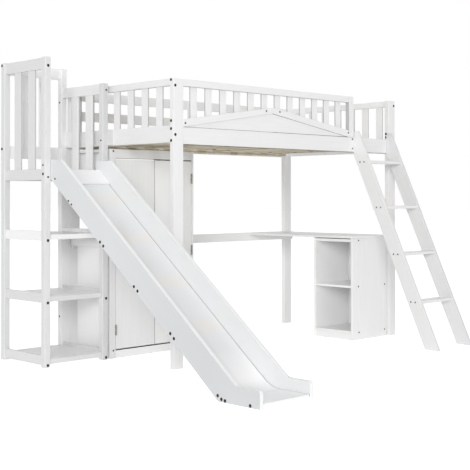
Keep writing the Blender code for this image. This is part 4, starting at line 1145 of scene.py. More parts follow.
@dataclass
class Tower(SubAssembly):
    """The tower at the head of the slide, with its platform and shelves."""

    post: float = 0.040
    rail_height: float = 0.067
    rail_thick: float = 0.022
    low_rail_height: float = 0.064
    right_rail_height: float = 0.062
    slat_width: float = 0.068
    slat_thick: float = 0.012
    slat_first: float = 0.0887
    slat_pitch: float = 0.1485
    slat_count: int = 2
    strip_inset: float = 0.003
    strip_thick: float = 0.018
    back_slat_width: float = 0.060
    back_slat_first: float = 0.0877
    back_slat_pitch: float = 0.135
    back_rail_height: float = 0.076
    platform_thick: float = 0.018
    spacer: float = 0.100
    spacer_lift: float = 1.310
    block_inset: float = 0.002
    rail_lap: float = 0.010
    shelf_side: float = 0.018
    shelf_rise: float = 0.007
    shelf_thick: float = 0.030
    tray_thick: float = 0.015

    def build(self) -> None:
        """Builds the tower."""
        # The left posts take a darker copy of the paint, as painted shade.
        for post in ("tower_post_front_left", "tower_post_back_left"):
            self.solid(post, edge=POST_EDGE, paint="tower")
        for place in ("front", "back"):
            self.spaced_post(place)
        self.left_guard()
        self.right_guard()
        self.back_guard()
        self.platform()
        for level in (1, 2, 3):
            self.shelf(level)

    def spaced_post(self, place: str) -> None:
        """A right post and the block that ties it to the bed.

        Args:
            place: Front or back.
        """
        node = f"tower_post_{place}_right"
        low, high = node_box(node)
        y = low[1] if place == "front" else high[1] - self.post
        post = self.board((low[0], y, low[2]), (low[0] + self.post, y + self.post, high[2]), POST_EDGE)
        start = low[1] + self.block_inset if place == "front" else low[1]
        # Painted shade on the front post, darkest on its sides; the back post and its block take a lighter
        # copy, as painted light.
        paint = "tower_post_shade" if place == "front" else "bright"
        foot = (low[0] + self.post + 0.0001, start, self.spacer_lift)
        head = (high[0], start + self.spacer, self.spacer_lift + self.spacer - LAP)
        block = self.board(foot, head, THIN_EDGE, Axis.Y)
        self.painted(f"{node}_with_block", [post, block], [node], paint)
        if place == "back":
            foot = (low[0] + self.post + SEAT, y + self.strip_inset, 0.0)
            head = (high[0] - SEAT, y + self.strip_inset + self.strip_thick, self.spacer_lift - HAIR)
            strip = self.board(foot, head, THIN_EDGE, Axis.Z)
            # The strip takes the back post's lighter copy, as painted light.
            self.painted("tower_joint_strip", [strip], paint=paint)

    def left_guard(self) -> None:
        """Top rail, lower rail and two slats on the left."""
        low, high = node_box("tower_guard_left")
        split = high[2] - self.rail_height
        low_top = low[2] + self.low_rail_height
        boards = [self.board((low[0], low[1], split), high), self.board(low, (high[0], high[1], low_top))]
        boards += self.side_slats(low, high, low_top - SLAT_SINK, split)
        # A darker copy with shaded slat sides: painted shade.
        self.painted("tower_guard_left_boards", boards, ["tower_guard_left"], "tower_guard_shade")

    def side_slats(self, low: Point, high: Point, base: float, split: float) -> list[Surface]:
        """The upright boards of a side guard.

        Args:
            low: Lowest corner of the guard.
            high: Highest corner of the guard.
            base: Lower ends of the boards.
            split: Lower edge of the top rail.

        Returns:
            The boards.
        """
        middle, half = (low[0] + high[0]) / 2, self.slat_thick / 2
        starts = low[1] + self.slat_first + np.arange(self.slat_count) * self.slat_pitch
        return self.slats(starts, self.slat_width, (middle - half, middle + half), (base, split + SLAT_SINK))

    def right_guard(self) -> None:
        """Top rail and two slats on the right, which stand on the platform's rail."""
        low, high = node_box("tower_guard_right")
        split = high[2] - self.right_rail_height
        boards = [self.board((low[0], low[1], split), high)]
        boards += self.side_slats(low, high, low[2], split)
        self.painted("tower_guard_right_boards", boards, ["tower_guard_right"])

    def back_guard(self) -> None:
        """Top rail, lower rail and two slats at the back."""
        low, high = node_box("tower_guard_back")
        split = high[2] - self.rail_height
        low_top = low[2] + self.back_rail_height
        middle, half = (low[1] + high[1]) / 2, self.slat_thick / 2
        boards = [self.board((low[0], low[1], split), high), self.board(low, (high[0], high[1], low_top))]
        starts = low[0] + self.back_slat_first + np.arange(self.slat_count) * self.back_slat_pitch
        across, upwards = (middle - half, middle + half), (low_top - SLAT_SINK, split + SLAT_SINK)
        boards += self.slats(starts, self.back_slat_width, across, upwards, Axis.X)
        # A lighter copy of the paint, as painted light.
        self.painted("tower_guard_back_boards", boards, ["tower_guard_back"], "bright")

    def platform(self) -> None:
        """The platform board on its three rails."""
        low, high = node_box("tower_platform")
        base = high[2] - self.platform_thick
        inner_far = node_box("tower_post_back_left")[0][1] - SEAT
        inner_right = node_box("tower_post_back_right")[0][0] - SEAT
        thick, lap = self.rail_thick, base + self.rail_lap
        boards = [
            self.board((low[0], low[1], base), (inner_right, inner_far, high[2])),
            self.board(low, (inner_right, low[1] + thick, base)),
            self.board((low[0], high[1] - thick, low[2]), (inner_right, high[1], lap)),
            self.board((high[0] - thick, low[1], low[2]), (high[0], inner_far, lap)),
        ]
        self.painted("tower_platform_boards", boards, ["tower_platform"])

    def shelf(self, level: int) -> None:
        """One tray shelf between its side rails.

        Args:
            level: Number of the shelf, from the floor.
        """
        node = f"tower_shelf_{level}"
        low, high = node_box(node)
        front_left = node_box("tower_post_front_left")[1]
        near = front_left[1] + SEAT
        far = node_box("tower_post_back_left")[0][1] - SEAT
        top = low[2] + self.shelf_rise + self.shelf_thick
        left, right = low[0] + self.shelf_side, high[0] - self.shelf_side
        boards = [
            self.board((low[0], near, low[2]), (left, far, high[2])),
            self.board((right, near, low[2]), (high[0], far, high[2])),
            self.board((left, near, top - self.tray_thick), (right, far, top), THIN_EDGE, Axis.X),
        ]
        ends = (("front", low[1], low[1] + self.shelf_side), ("back", high[1] - self.shelf_side, high[1]))
        for place, y, behind in ends:
            start = (front_left[0] + SEAT, y, low[2] + self.shelf_rise)
            stop = (node_box(f"tower_post_{place}_right")[0][0] - SEAT, behind, top)
            boards.append(self.board(start, stop))
        # The trays and the top shelf's rails take a lighter copy, as painted light; the lower rails a darker
        # copy, as painted shade.
        self.painted(f"{node}_tray", [boards.pop(2)], paint="bright")
        self.painted(f"{node}_rails", boards, [node], "bright" if level == 3 else "tower")


@dataclass
class Slide(SubAssembly):
    """Two side boards and the bent deck between them."""

    width: float = 0.149
    slope: float = 0.778
    head_start: float = 0.4755
    head_top: float = 1.211
    head_base: float = 1.094
    head_end: float = 0.613
    foot_top: float = 0.090
    foot_length: float = 0.157
    deck_drop: float = 0.114
    deck_thick: float = 0.010
    deck_ease: float = 0.0035
    shade_line_sink: float = 0.0006
    foot_deck: float = 0.026
    platform_top: float = 1.158
    bend: float = 0.180
    plate_length: float = 0.158
    plate_thick: float = 0.012
    undercut: float = 0.010
    kerb_thick: float = 0.012
    batten_width: float = 0.060
    batten_thick: float = 0.020
    batten_first: float = 0.325
    batten_pitch: float = 0.360
    batten_count: int = 5
    batten_inset: float = 0.002
    bend_round: float = 0.030
    toe_round: float = 0.018
    neck_round: float = 0.010
    lip_round: float = 0.012
    deck_inset: float = 0.006
    plate_sink: float = 0.004
    arc_steps: int = 10

    @property
    def stretch(self) -> float:
        """Length along the slope for each unit of run."""
        return math.sqrt(1 + self.slope**2)

    @property
    def fibres(self) -> Point:
        """Direction of the fibres, down the slope."""
        return (0.0, 1.0, self.slope)

    @property
    def foot_end(self) -> float:
        """Where the run-out ends."""
        return self.head_start - (self.head_top - self.foot_top) / self.slope - self.foot_length

    def build(self) -> None:
        """Builds the slide."""
        low_at_head = self.head_top - self.width * self.stretch
        corners = [
            (self.head_start - low_at_head / self.slope, 0.0, CRISP),
            (self.head_start + (self.head_base - low_at_head) / self.slope, self.head_base, self.neck_round),
            (self.head_end, self.head_base, CRISP),
            (self.head_end, self.head_top, CRISP),
            (self.head_start, self.head_top, self.bend_round),
            (self.foot_end + self.foot_length, self.foot_top, self.bend_round),
            (self.foot_end, self.foot_top, self.toe_round),
            (self.foot_end, 0.0, CRISP),
        ]
        for side in ("left", "right"):
            low, high = node_box(f"slide_side_{side}")
            board = self.cut(corners, low[0], high[0], Axis.X, self.fibres)
            # Both boards take painted shade, the outer one darker and darkest towards the foot, and a painted
            # highlight on their edges.
            self.painted(f"slide_{side}_side_board", [board], [f"slide_side_{side}"], f"slide_{side}")
        self.deck()

    def deck(self) -> None:
        """The bent deck and the battens set square to it."""
        low, high = node_box("slide_deck")
        at_head = self.head_top - self.deck_drop * self.stretch
        lip = self.head_start + (self.platform_top - at_head) / self.slope
        bend_at = self.head_start - (at_head - self.foot_deck) / self.slope
        end = self.foot_end + self.deck_inset
        shift = self.deck_thick * (self.stretch - 1) / self.slope
        thick = self.deck_thick
        corners = [
            (self.head_end - SEAT, self.platform_top - thick, SHARP),
            (self.head_end - SEAT, self.platform_top, SHARP),
            (lip, self.platform_top, self.lip_round),
            (bend_at, self.foot_deck, self.bend),
            (end, self.foot_deck, CRISP),
            (end, self.foot_deck - thick, CRISP),
            (bend_at + shift, self.foot_deck - thick, self.bend + thick),
            (lip + shift, self.platform_top - thick, self.lip_round),
        ]
        ease = self.deck_ease
        deck = self.cut(corners, low[0] + ease, high[0] - ease, Axis.X, self.fibres, SHARP, self.arc_steps)
        battens = []
        along = np.array([-1.0, -self.slope]) / self.stretch
        under = np.array([self.slope, -1.0]) / self.stretch
        for i in range(self.batten_count):
            start = np.array([lip, self.platform_top]) + along * (self.batten_first + i * self.batten_pitch)
            a = start + under * (thick - HAIR)
            b = start + under * (thick + self.batten_thick)
            c = b - along * self.batten_width
            d = a - along * self.batten_width
            outline = [(p[0], p[1], SHARP) for p in (a, b, c, d)]
            left, right = low[0] + self.batten_inset, high[0] - self.batten_inset
            battens.append(self.cut(outline, left, right, Axis.X, (TINY, 0, 1), THIN_EDGE, 3))
        front = (high[0] - LAP, end + self.kerb_thick, self.foot_deck - thick * 0.6)
        kerb = self.board((low[0] + LAP, end + LAP, 0), front, FINE_EDGE)
        shells = [deck, *battens, self.plate(lip, low, high), kerb]
        self.shop.place("slide_deck_board", shells, Slot.DECK, ["slide_deck"])
        # Painted shade: a grey strip sunk into the gap between the deck's right edge and the right board.
        line = [(y, z - self.shade_line_sink, r) for y, z, r in corners]
        near, far = high[0] - ease + 0.0001, high[0] - 0.0001
        joint = self.cut(line, near, far, Axis.X, self.fibres, GAP_EDGE, self.arc_steps)
        self.painted("slide_deck_shade_line", [joint], paint="shade_grey")

    def plate(self, lip: float, low: np.ndarray, high: np.ndarray) -> Surface:
        """The short plate that covers the joint of platform and deck.

        Args:
            lip: Where the deck turns down.
            low: Lowest corner of the deck.
            high: Highest corner of the deck.

        Returns:
            The closed surface.
        """
        thick = self.plate_thick
        along = np.array([-1.0, -self.slope]) / self.stretch
        over = np.array([-self.slope, 1.0]) / self.stretch
        start = np.array([lip, self.platform_top])
        end = start + along * self.plate_length
        tip = np.array([lip - thick * self.stretch / self.slope, self.platform_top + 0.0004])
        sunk = over * self.plate_sink
        corners = [start - sunk, tip, end + over * thick, end - sunk - along * self.undercut]
        outline = [(p[0], p[1], SHARP) for p in corners]
        return self.cut(outline, low[0] + LAP, high[0] - LAP, Axis.X, self.fibres, FINE_EDGE, 4)


@dataclass
class Ladder(SubAssembly):
    """Two raking stringers and four treads, hung on the front rail."""

    foot: float = -0.575
    width: float = 0.101
    lean: float = 0.453
    top: float = 1.446
    back: float = 0.0057
    hook_round: float = 0.012
    nose_share: float = 0.98

    def build(self) -> None:
        """Builds the ladder."""
        stretch = math.sqrt(1 + self.lean**2)
        toe = self.foot - self.width * stretch
        nose = (self.back - toe - self.top * self.lean) / (1 + stretch - self.lean) * self.nose_share
        corners = [
            (self.foot, 0.0, CRISP),
            (self.back, (self.back - self.foot) / self.lean, self.hook_round),
            (self.back, self.top, nose),
            (toe + self.lean * self.top, self.top, nose),
            (toe, 0.0, CRISP),
        ]
        # The left stringer takes a darker copy, the right one the tower's darker copy: painted shade.
        for side, paint in (("left", "stringer"), ("right", "tower")):
            low, high = node_box(f"ladder_stringer_{side}")
            board = self.cut(corners, low[0], high[0], Axis.X, (0, self.lean, 1.0))
            node = f"ladder_stringer_{side}"
            self.painted(f"ladder_{side}_stringer", [board], [node], paint)
        for i in range(4):
            self.solid(f"ladder_tread_{i + 1}", edge=0.004)


@dataclass
class Wardrobe(SubAssembly):
    """The carcass, its two doors and their hinges."""

    stile_width: float = 0.045
    stile_depth: float = 0.020
    panel: float = 0.018
    side_low_top: float = 0.735
    side_high_height: float = 0.172
    rail_thick: float = 0.014
    rail_height: float = 0.055
    front: float = 0.573
    base_top: float = 0.066
    tube_radius: float = 0.0125
    hanger_radius: float = 0.008
    hanger_inset: float = 0.060
    hinge_radius: float = 0.0045
    hinge_proud: float = 0.005
    hinge_length: float = 0.065
    hinge_leaf: float = 0.0062
    hinge_thick: float = 0.0015
    hinge_low: float = 0.175
    hinge_spacing: float = 0.4685
    leaf_edge: float = 0.0004
    hinge_gap: float = 0.0015
    door_rise: tuple[float, float] = (0.005, POST_EDGE)
    door_ease: float = 0.001
    shadow_strip_height: float = 0.0045
    shadow_strip_inset: float = 0.0005
    shadow_strip_depth: float = 0.010
    shadow_strip_edge: float = 0.0006
    hinge_axes: dict[str, float] = field(default_factory=lambda: {"left": 0.0275, "right": 0.6555})

    def build(self) -> None:
        """Builds the wardrobe."""
        self.left_side()
        # The fascia takes a darker copy of the paint, as painted shade.
        for part, paint in {"side_right": None, "top": None, "fascia": "tower", "shelf": None}.items():
            self.solid(f"wardrobe_{part}", THIN_EDGE, paint=paint)
        self.solid("wardrobe_back", edge=0.001, along=Axis.Z)
        self.base()
        self.hanging_rail()
        for side, way in (("left", 1), ("right", -1)):
            self.door(side, way)

    def left_side(self) -> None:
        """The left stile, a low panel with its rail, and a high panel; it is open between them."""
        high = node_box("wardrobe_side_left")[1]
        left = node_box("wardrobe_top")[0][0]
        right = left + self.stile_width
        back = node_box("wardrobe_side_right")[1][1]
        start = self.front + self.stile_depth
        inner, outer = right - LAP, right - LAP - self.panel
        top = high[2] - self.panel - SEAT
        rail = (outer - self.rail_thick, start, self.side_low_top - self.rail_height)
        rail_end = (right - HAIR - self.panel, high[1], self.side_low_top - 0.004)
        upper = (outer, start - LAP, high[2] - self.side_high_height)
        boards = [
            self.board((left, self.front, 0), (right, start, high[2]), THIN_EDGE),
            self.board((outer, start - LAP, 0), (inner, back, self.side_low_top), THIN_EDGE, Axis.Z),
            self.board(upper, (inner, back, top), THIN_EDGE, Axis.Y),
            self.board(rail, rail_end, THIN_EDGE),
        ]
        # The stile takes a darker copy, as painted shade; the side boards a lighter copy, as painted light.
        self.painted("wardrobe_left_stile", boards[:1], paint="tower")
        self.painted("wardrobe_left_side_boards", boards[1:], ["wardrobe_side_left"], "panel")

    def base(self) -> None:
        """The bottom board on its plinth."""
        low, high = node_box("wardrobe_base")
        behind = self.front + self.stile_depth + SEAT
        floor = self.base_top - self.panel
        boards = [
            self.board((low[0], behind, floor), high, THIN_EDGE),
            self.board((low[0], low[1], 0), (high[0], behind + 0.004, floor + 0.0008), THIN_EDGE),
            self.board((low[0], high[1] - self.panel, 0), (high[0], high[1], floor), THIN_EDGE),
        ]
        self.painted("wardrobe_base_boards", boards, ["wardrobe_base"])
        self.shadow_strips()

    def shadow_strips(self) -> None:
        """Dark strips of painted shadow in the door gaps, on the plinth and under the fascia."""
        left = node_box("door_left")[0][0]
        right = node_box("door_right")[1][0]
        middle = (node_box("door_left")[1][0] + node_box("door_right")[0][0]) / 2
        plinth = node_box("wardrobe_base")[0][1]
        top = self.base_top - self.panel
        fascia = node_box("wardrobe_fascia")[0]
        tall, lip = self.shadow_strip_height, fascia[2] + LAP
        spans = [
            (left, right, plinth, top, top + tall),
            (middle, right, fascia[1], fascia[2] - tall, lip),
            (left, middle, fascia[1], fascia[2] - 0.0012, lip),
        ]
        strips = [
            self.board((x, y + self.shadow_strip_inset, z), (end, y + self.shadow_strip_depth, up), self.shadow_strip_edge, Axis.X)
            for x, end, y, z, up in spans
        ]
        self.shop.place("wardrobe_door_shadow_strips", strips, Slot.HINGE, paint="bolt")

    def hanging_rail(self) -> None:
        """The tube that clothes hang on, and its two hangers."""
        low, high = node_box("wardrobe_hanging_rail")
        middle = (low[1] + high[1]) / 2
        height = low[2] + self.tube_radius
        radius = self.tube_radius
        length = high[0] - low[0]
        worn, ease = radius * 0.8, radius * 0.2
        profile = [(worn, 0.0), (radius, ease), (radius, length - ease), (worn, length)]
        shells = [turned(profile, (low[0], middle, height), (1, 0, 0), 24)]
        for x in (low[0] + self.hanger_inset, high[0] - self.hanger_inset):
            rise = high[2] - height
            foot = self.hanger_radius
            profile = [(foot, radius * 0.5), (foot, rise - 0.006), (foot * 2, rise - 0.003), (foot * 2, rise)]
            shells.append(turned(profile, (x, middle, height), (0, 0, 1), 20))
        self.shop.place("wardrobe_clothes_rail", shells, Slot.TUBE, ["wardrobe_hanging_rail"], flat=True)

    def door(self, side: str, way: int) -> None:
        """One door with its half of the hinges, and the fixed halves.

        Args:
            side: Left or right.
            way: Direction from the hinges to the door's middle, along X.
        """
        low, high = node_box(f"door_{side}")
        axis = self.hinge_axes[side]
        inner = axis + way * self.hinge_gap
        outer = high[0] - self.door_ease if way > 0 else low[0] + self.door_ease
        xs = sorted([inner, outer])
        body = f"door_{side}"
        back = self.front + self.panel
        rise, fall = self.door_rise
        corner = (xs[0], self.front, low[2] + rise)
        panel = self.board(corner, (xs[1], back, high[2] - fall), THIN_EDGE)
        # The left door takes a darker copy of the paint, as painted shade.
        self.painted(f"{body}_panel", [panel], [body], "door_left" if way > 0 else None, body)
        if way < 0:
            # Painted shade: a grey strip in the gap where the doors meet.
            foot = (outer - 0.0008, self.front + 0.0035, corner[2])
            shade_strip = rounded_board(foot, (outer + 0.0004, back, high[2] - fall), self.leaf_edge, Axis.Z)
            self.painted(f"{body}_meeting_gap_shade", [shade_strip], paint="shade_grey", body=body)
        moving = []
        for i in range(3):
            z = self.hinge_low + i * self.hinge_spacing
            moving += self.hinge_half(axis, way, z, (0,), self.front - 0.0001)
            fixed = self.hinge_half(axis, -way, z, (-1, 1), self.front - SEAT)
            node = f"hinge_{side}_{i + 1}"
            self.shop.place(f"{node}_fixed", fixed, Slot.HINGE, [node], flat=True)
        self.shop.place(f"hinge_{side}_moving", moving, Slot.HINGE, body=body, flat=True)

    def hinge_half(
        self, axis: float, way: int, middle: float, turns: tuple[int, ...], face: float
    ) -> list[Surface]:
        """A leaf with its knuckles.

        Args:
            axis: Place of the pin along X.
            way: Direction of the leaf along X.
            middle: Height of the hinge's middle.
            turns: Which thirds of the barrel belong to this leaf.
            face: The face that the leaf lies on.

        Returns:
            The shells.
        """
        third = self.hinge_length / 3
        half = third / 2 - 0.00015
        near = axis + way * (self.hinge_radius + SEAT)
        xs = sorted([near, axis + way * self.hinge_leaf])
        leaf_low = (xs[0], face - self.hinge_thick, middle - self.hinge_length / 2)
        leaf_high = (xs[1], face, middle + self.hinge_length / 2)
        shells = [rounded_board(leaf_low, leaf_high, 0.0003, Axis.Z)]
        radius = self.hinge_radius
        for turn in turns:
            z = middle + turn * third
            foot = (axis, self.front - self.hinge_proud, z - half)
            rise, worn = radius * 0.14, radius * 0.86
            profile = [(worn, 0.0), (radius, rise), (radius, 2 * half - rise), (worn, 2 * half)]
            shells.append(turned(profile, foot, (0, 0, 1), 20))
            xs = sorted([axis, axis + way * (self.hinge_leaf - 0.0004)])
            tab_low = (xs[0], face - self.hinge_thick, z - half)
            shells.append(rounded_board(tab_low, (xs[1], face, z + half), self.leaf_edge, Axis.Z))
        return shells


@dataclass
class Desk(SubAssembly):
    """The desk top, the stretcher behind it and the open cabinet."""

    plinth_inset: float = 0.012
    cabinet_panel: float = 0.015
    base_top: float = 0.065
    top_growth: float = 0.005

    def build(self) -> None:
        """Builds the desk."""
        self.solid("desk_top", edge=THIN_EDGE)
        self.solid("back_stretcher")
        self.solid("cabinet_side_front", edge=THIN_EDGE, along=Axis.Z)
        # The cabinet's far side and back take a lighter copy, as painted light.
        for panel in ("side_back", "back"):
            self.solid(f"cabinet_{panel}", edge=THIN_EDGE, along=Axis.Z, paint="bright")
        low, high = node_box("cabinet_top")
        board = self.board(low, (high[0], high[1], high[2] + self.top_growth), THIN_EDGE)
        self.painted("cabinet_top_board", [board], ["cabinet_top"])
        # The shelf takes a lighter copy, as painted light.
        self.solid("cabinet_shelf", edge=THIN_EDGE, paint="bright")
        low, high = node_box("cabinet_base")
        x = low[0] + self.plinth_inset
        inner = x + self.cabinet_panel
        boards = [
            self.board((low[0], low[1], self.base_top - self.cabinet_panel), high, THIN_EDGE),
            self.board((x, low[1], 0), (inner, high[1], self.base_top - 0.006), THIN_EDGE, Axis.Y),
        ]
        self.painted("cabinet_base_boards", boards, ["cabinet_base"])


class HeadSize(Enum):
    """Radius of a bolt's head in metres."""

    LARGE = 0.0088
    PLAIN = 0.0060
    SMALL = 0.0052


@dataclass
class Bolts(SubAssembly):
    """Dark button heads with a socket, sunk a little into the faces."""

    height: float = 0.0026
    socket: float = 0.0024
    depth: float = 0.0014
    sides: int = 14
    places: list[tuple[Point, Facing, HeadSize]] = field(default_factory=list)

    def __post_init__(self) -> None:
        """Lists the bolts face by face."""
        left, front = Facing.LEFT, Facing.FRONT
        large, plain, small = HeadSize.LARGE, HeadSize.PLAIN, HeadSize.SMALL
        self.add(left, large, [(0.0, 0.025, z) for z in (1.673, 1.435, 1.389, 1.320)])
        self.add(front, large, [(0.011, 0.0, z) for z in (1.639, 1.354)])
        self.add(front, plain, [(1.638, 0.006, z) for z in (1.389, 1.324)])
        self.add(front, plain, [(1.588, 0.001, 1.430), (0.090, 0.001, 1.424)])
        self.add(left, large, [(2.042, 0.0235, z) for z in (1.442, 1.418)])
        self.add(front, large, [(2.104, 0.0, 1.645)])
        self.add(front, plain, [(0.774, 0.001, 1.533), (0.899, 0.001, 1.534)])
        self.add(front, large, [(-0.471, 0.573, z) for z in (1.763, 0.741, 0.378, 0.015)])
        self.add(front, plain, [(-0.471, 0.573, 1.111), (0.008, 0.573, 1.277), (-0.048, 0.573, 1.650)])
        self.add(front, large, [(-0.048, 0.573, z) for z in (0.375, 0.015)])
        self.add(left, plain, [(-0.493, 0.593, 1.181), (-0.073, 1.026, 1.600), (-0.073, 1.026, 0.230)])
        self.add(left, large, [(-0.493, 0.593, 1.129), (-0.473, 0.930, 1.130)])
        self.add(left, large, [(-0.493, 1.035, z) for z in (1.800, 1.289)])
        self.add(left, plain, [(-0.073, 0.593, 1.340), (-0.4527, 0.530, 1.100)])
        self.add(front, small, [(0.008, 0.573, 0.050)])
        slide = [(-0.4527, y, z) for y, z in self.slide_places()]
        self.add(left, plain, slide[:2])
        self.add(left, large, slide[2:])
        self.add(left, small, [(1.6503, y, z) for y, z in self.ladder_places()])
        self.add(front, plain, [(x, 0.015, z) for x, z in ((1.713, 0.689), (1.711, 0.370), (1.715, 0.052))])
        self.add(front, small, [(x, 0.015, z) for x, z in ((2.007, 0.369), (2.005, 0.049))])

    def add(self, facing: Facing, size: HeadSize, spots: list[Point]) -> None:
        """Lists heads of one size on one face.

        Args:
            facing: Direction of the heads.
            size: Radius of the heads.
            spots: Places of the heads.
        """
        self.places += [(spot, facing, size) for spot in spots]

    @staticmethod
    def slide_places() -> list[tuple[float, float]]:
        """Places on the slide's left side board.

        Returns:
            Y and Z of each, from the head down.
        """
        upper = [(0.397, 0.972), (0.368, 0.952), (0.101, 0.746), (0.072, 0.725)]
        middle = [(-0.194, 0.519), (-0.224, 0.497), (-0.487, 0.298), (-0.515, 0.275)]
        lower = [(-0.836, 0.030), (-0.862, 0.016), (-0.887, 0.012), (-1.057, 0.012)]
        return upper + middle + lower

    @staticmethod
    def ladder_places() -> list[tuple[float, float]]:
        """Places on the ladder's stringer, two for each tread, as Y and Z."""
        treads = ((-0.0675, 1.230), (-0.207, 0.920), (-0.3475, 0.610), (-0.4855, 0.302))
        return [(y + way * 0.0175, z) for y, z in treads for way in (-1, 1)]

    def head(self, spot: Point, facing: Facing, size: HeadSize) -> Surface:
        """One head: foot, dome, and a socket sunk into its crown.

        Args:
            spot: Place of the head.
            facing: Direction of the head.
            size: Radius of the head.

        Returns:
            The closed surface.
        """
        r, h = size.value, self.height
        profile = [
            (r * 0.9, -0.0008),
            (r, 0.0002),
            (r * 0.97, h * 0.35),
            (r * 0.80, h * 0.75),
            (r * 0.55, h * 0.97),
            (self.socket * 1.12, h),
            (self.socket, h - 0.0003),
            (self.socket * 0.95, h - self.depth),
        ]
        return turned(profile, spot, facing.value, self.sides)

    def build(self) -> None:
        """Builds all heads as one piece."""
        heads = [self.head(*place) for place in self.places]
        self.shop.place("bolt_heads", heads, Slot.HINGE, paint="bolt", flat=True)


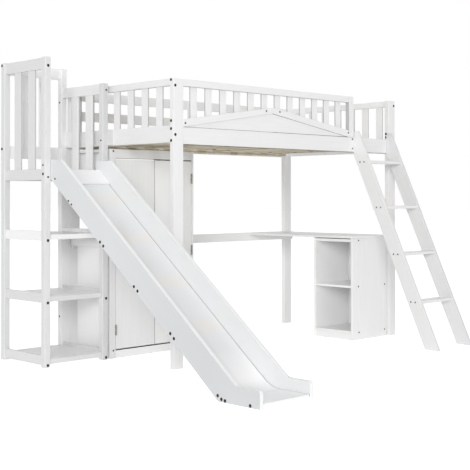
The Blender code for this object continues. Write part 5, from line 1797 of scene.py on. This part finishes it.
@dataclass(frozen=True)
class Studio:
    """Camera, floor and light of the picture.

    Attributes:
        frame_px: Side of the square picture.
        focal_px: Focal length in its pixels.
        centre_px: Where the camera's axis meets it.
        yaw: Direction of the view in degrees, from X towards Y.
        pitch: How far the view is raised.
        roll: How far the view is turned.
        eye: Place of the camera.
        sky: Strength of the world's light on the object.
        ground: Glow of the floor as it is seen.
        bounce: Glow of the floor as it lights the object.
        floor_radius: Radius of the floor.
        film_mm: Width of the camera's sensor.
    """

    frame_px: float = 470.0
    focal_px: float = 1027.2547
    centre_px: tuple[float, float] = (237.955, 180.51)
    yaw: float = 45.1619
    pitch: float = 0.8568
    roll: float = -0.0881
    eye: tuple[float, float, float] = (-3.9076, -4.4523, 0.9994)
    sky: float = 0.34
    ground: float = 0.68
    bounce: float = 0.2
    floor_radius: float = 60.0
    film_mm: float = 36.0

    @staticmethod
    def stand(name: str, data: bpy.types.ID, axes: Sequence[np.ndarray], place: Point) -> bpy.types.Object:
        """Stands a camera or a lamp in the scene.

        Args:
            name: Name of the object.
            data: Its camera or lamp.
            axes: Directions of its own X, Y and Z.
            place: Where it stands.

        Returns:
            The object.
        """
        made = bpy.data.objects.new(name, data)
        bpy.context.scene.collection.objects.link(made)
        matrix = np.eye(4)
        matrix[:3, :3] = np.stack(axes, axis=1)
        matrix[:3, 3] = place
        made.matrix_world = Matrix(matrix.tolist())
        return made

    def camera(self) -> None:
        """Sets the camera to the photograph's view."""
        yaw, pitch, roll = (math.radians(a) for a in (self.yaw, self.pitch, self.roll))
        ahead = np.array([math.cos(yaw) * math.cos(pitch), math.sin(yaw) * math.cos(pitch), math.sin(pitch)])
        level = np.array([math.sin(yaw), -math.cos(yaw), 0.0])
        upright = np.cross(level, ahead)
        right = level * math.cos(roll) + upright * math.sin(roll)
        top = -level * math.sin(roll) + upright * math.cos(roll)
        data = bpy.data.cameras.new("view")
        data.sensor_width = self.film_mm
        data.lens = self.film_mm * self.focal_px / self.frame_px
        data.shift_x = (self.frame_px / 2 - self.centre_px[0]) / self.frame_px
        data.shift_y = (self.centre_px[1] - self.frame_px / 2) / self.frame_px
        data.clip_end = 200.0
        bpy.context.scene.camera = self.stand("view", data, (right, top, -ahead), np.array(self.eye) + CORNER)

    @staticmethod
    def glow(tree: bpy.types.NodeTree, lit: float, shown: float, strength: Socket) -> None:
        """Sets a strength that differs between what is lit and what is seen.

        Args:
            tree: The node tree of the floor or the world.
            lit: Strength for the light on the object.
            shown: Strength for camera, glossy and transmission rays.
            strength: The input that takes it.
        """
        path = tree.nodes.new("ShaderNodeLightPath")
        seen = path.outputs["Is Camera Ray"]
        for name in ("Is Glossy Ray", "Is Transmission Ray"):
            either = tree.nodes.new("ShaderNodeMath")
            either.operation = "MAXIMUM"
            tree.links.new(seen, either.inputs[0])
            tree.links.new(path.outputs[name], either.inputs[1])
            seen = either.outputs[0]
        level = tree.nodes.new("ShaderNodeMapRange")
        level.inputs["To Min"].default_value = lit
        level.inputs["To Max"].default_value = shown
        tree.links.new(seen, level.inputs["Value"])
        tree.links.new(level.outputs["Result"], strength)

    def floor(self) -> None:
        """A wide pale floor that shows white and keeps soft shadows."""
        around = np.arange(64) * 2 * math.pi / 64
        points = np.stack([np.cos(around), np.sin(around), np.zeros(64)], axis=1) * self.floor_radius
        mesh = bpy.data.meshes.new("floor")
        mesh.from_pydata(points.tolist(), [], [tuple(range(64))])
        wire = Wiring("floor_white")
        wire.shader.inputs["Base Color"].default_value = tone(0.92, 0.92, 0.92)
        wire.shader.inputs["Roughness"].default_value = 0.9
        wire.shader.inputs["Emission Color"].default_value = tone(1.0, 1.0, 1.0)
        self.glow(wire.tree, self.bounce, self.ground, wire.shader.inputs["Emission Strength"])
        mesh.materials.append(wire.material)
        made = bpy.data.objects.new("floor", mesh)
        bpy.context.scene.collection.objects.link(made)

    def world(self) -> None:
        """Soft light from all round, and a white ground behind the object."""
        world = bpy.data.worlds.new("studio")
        bpy.context.scene.world = world
        world.use_nodes = True
        back = world.node_tree.nodes["Background"]
        back.inputs["Color"].default_value = tone(1.0, 1.0, 1.0)
        self.glow(world.node_tree, self.sky, 1.0, back.inputs["Strength"])

    def lamp(self, name: str, place: Point, target: Point, size: float, power: float) -> None:
        """A square soft lamp that looks at a point.

        Args:
            name: Name of the lamp.
            place: Where it stands.
            target: Where it looks.
            size: Side of its square.
            power: Its power in watts.
        """
        data = bpy.data.lights.new(name, "AREA")
        data.shape = "SQUARE"
        data.size = size
        data.energy = power
        back = np.asarray(place, float) - np.asarray(target, float)
        back /= np.linalg.norm(back)
        side = np.cross([0.0, 0.0, 1.0], back)
        side /= np.linalg.norm(side)
        self.stand(name, data, (side, np.cross(back, side), back), place)

    def build(self) -> None:
        """Sets up the whole studio."""
        bpy.context.scene.view_settings.view_transform = "Standard"
        self.camera()
        self.floor()
        self.world()
        self.lamp("front", (-14.1, -13.0, 5.2), (0.8, 0.3, 0.8), 6.0, 1900.0)
        self.lamp("key", (-3.0, -6.5, 16.0), (0.8, 0.3, 0.8), 10.0, 560.0)


def main() -> None:
    """Builds the studio and every sub-assembly, in order."""
    logging.basicConfig(level=logging.INFO, format="%(name)s: %(message)s")
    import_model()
    Studio().build()
    shop = Workshop()
    for kind in (BedFrame, FrontGuard, EndGuards, Tower, Slide, Ladder, Wardrobe, Desk, Bolts):
        LOG.info("building %s", kind.__name__)
        kind(shop).build()


if __name__ == "__main__":
    main()
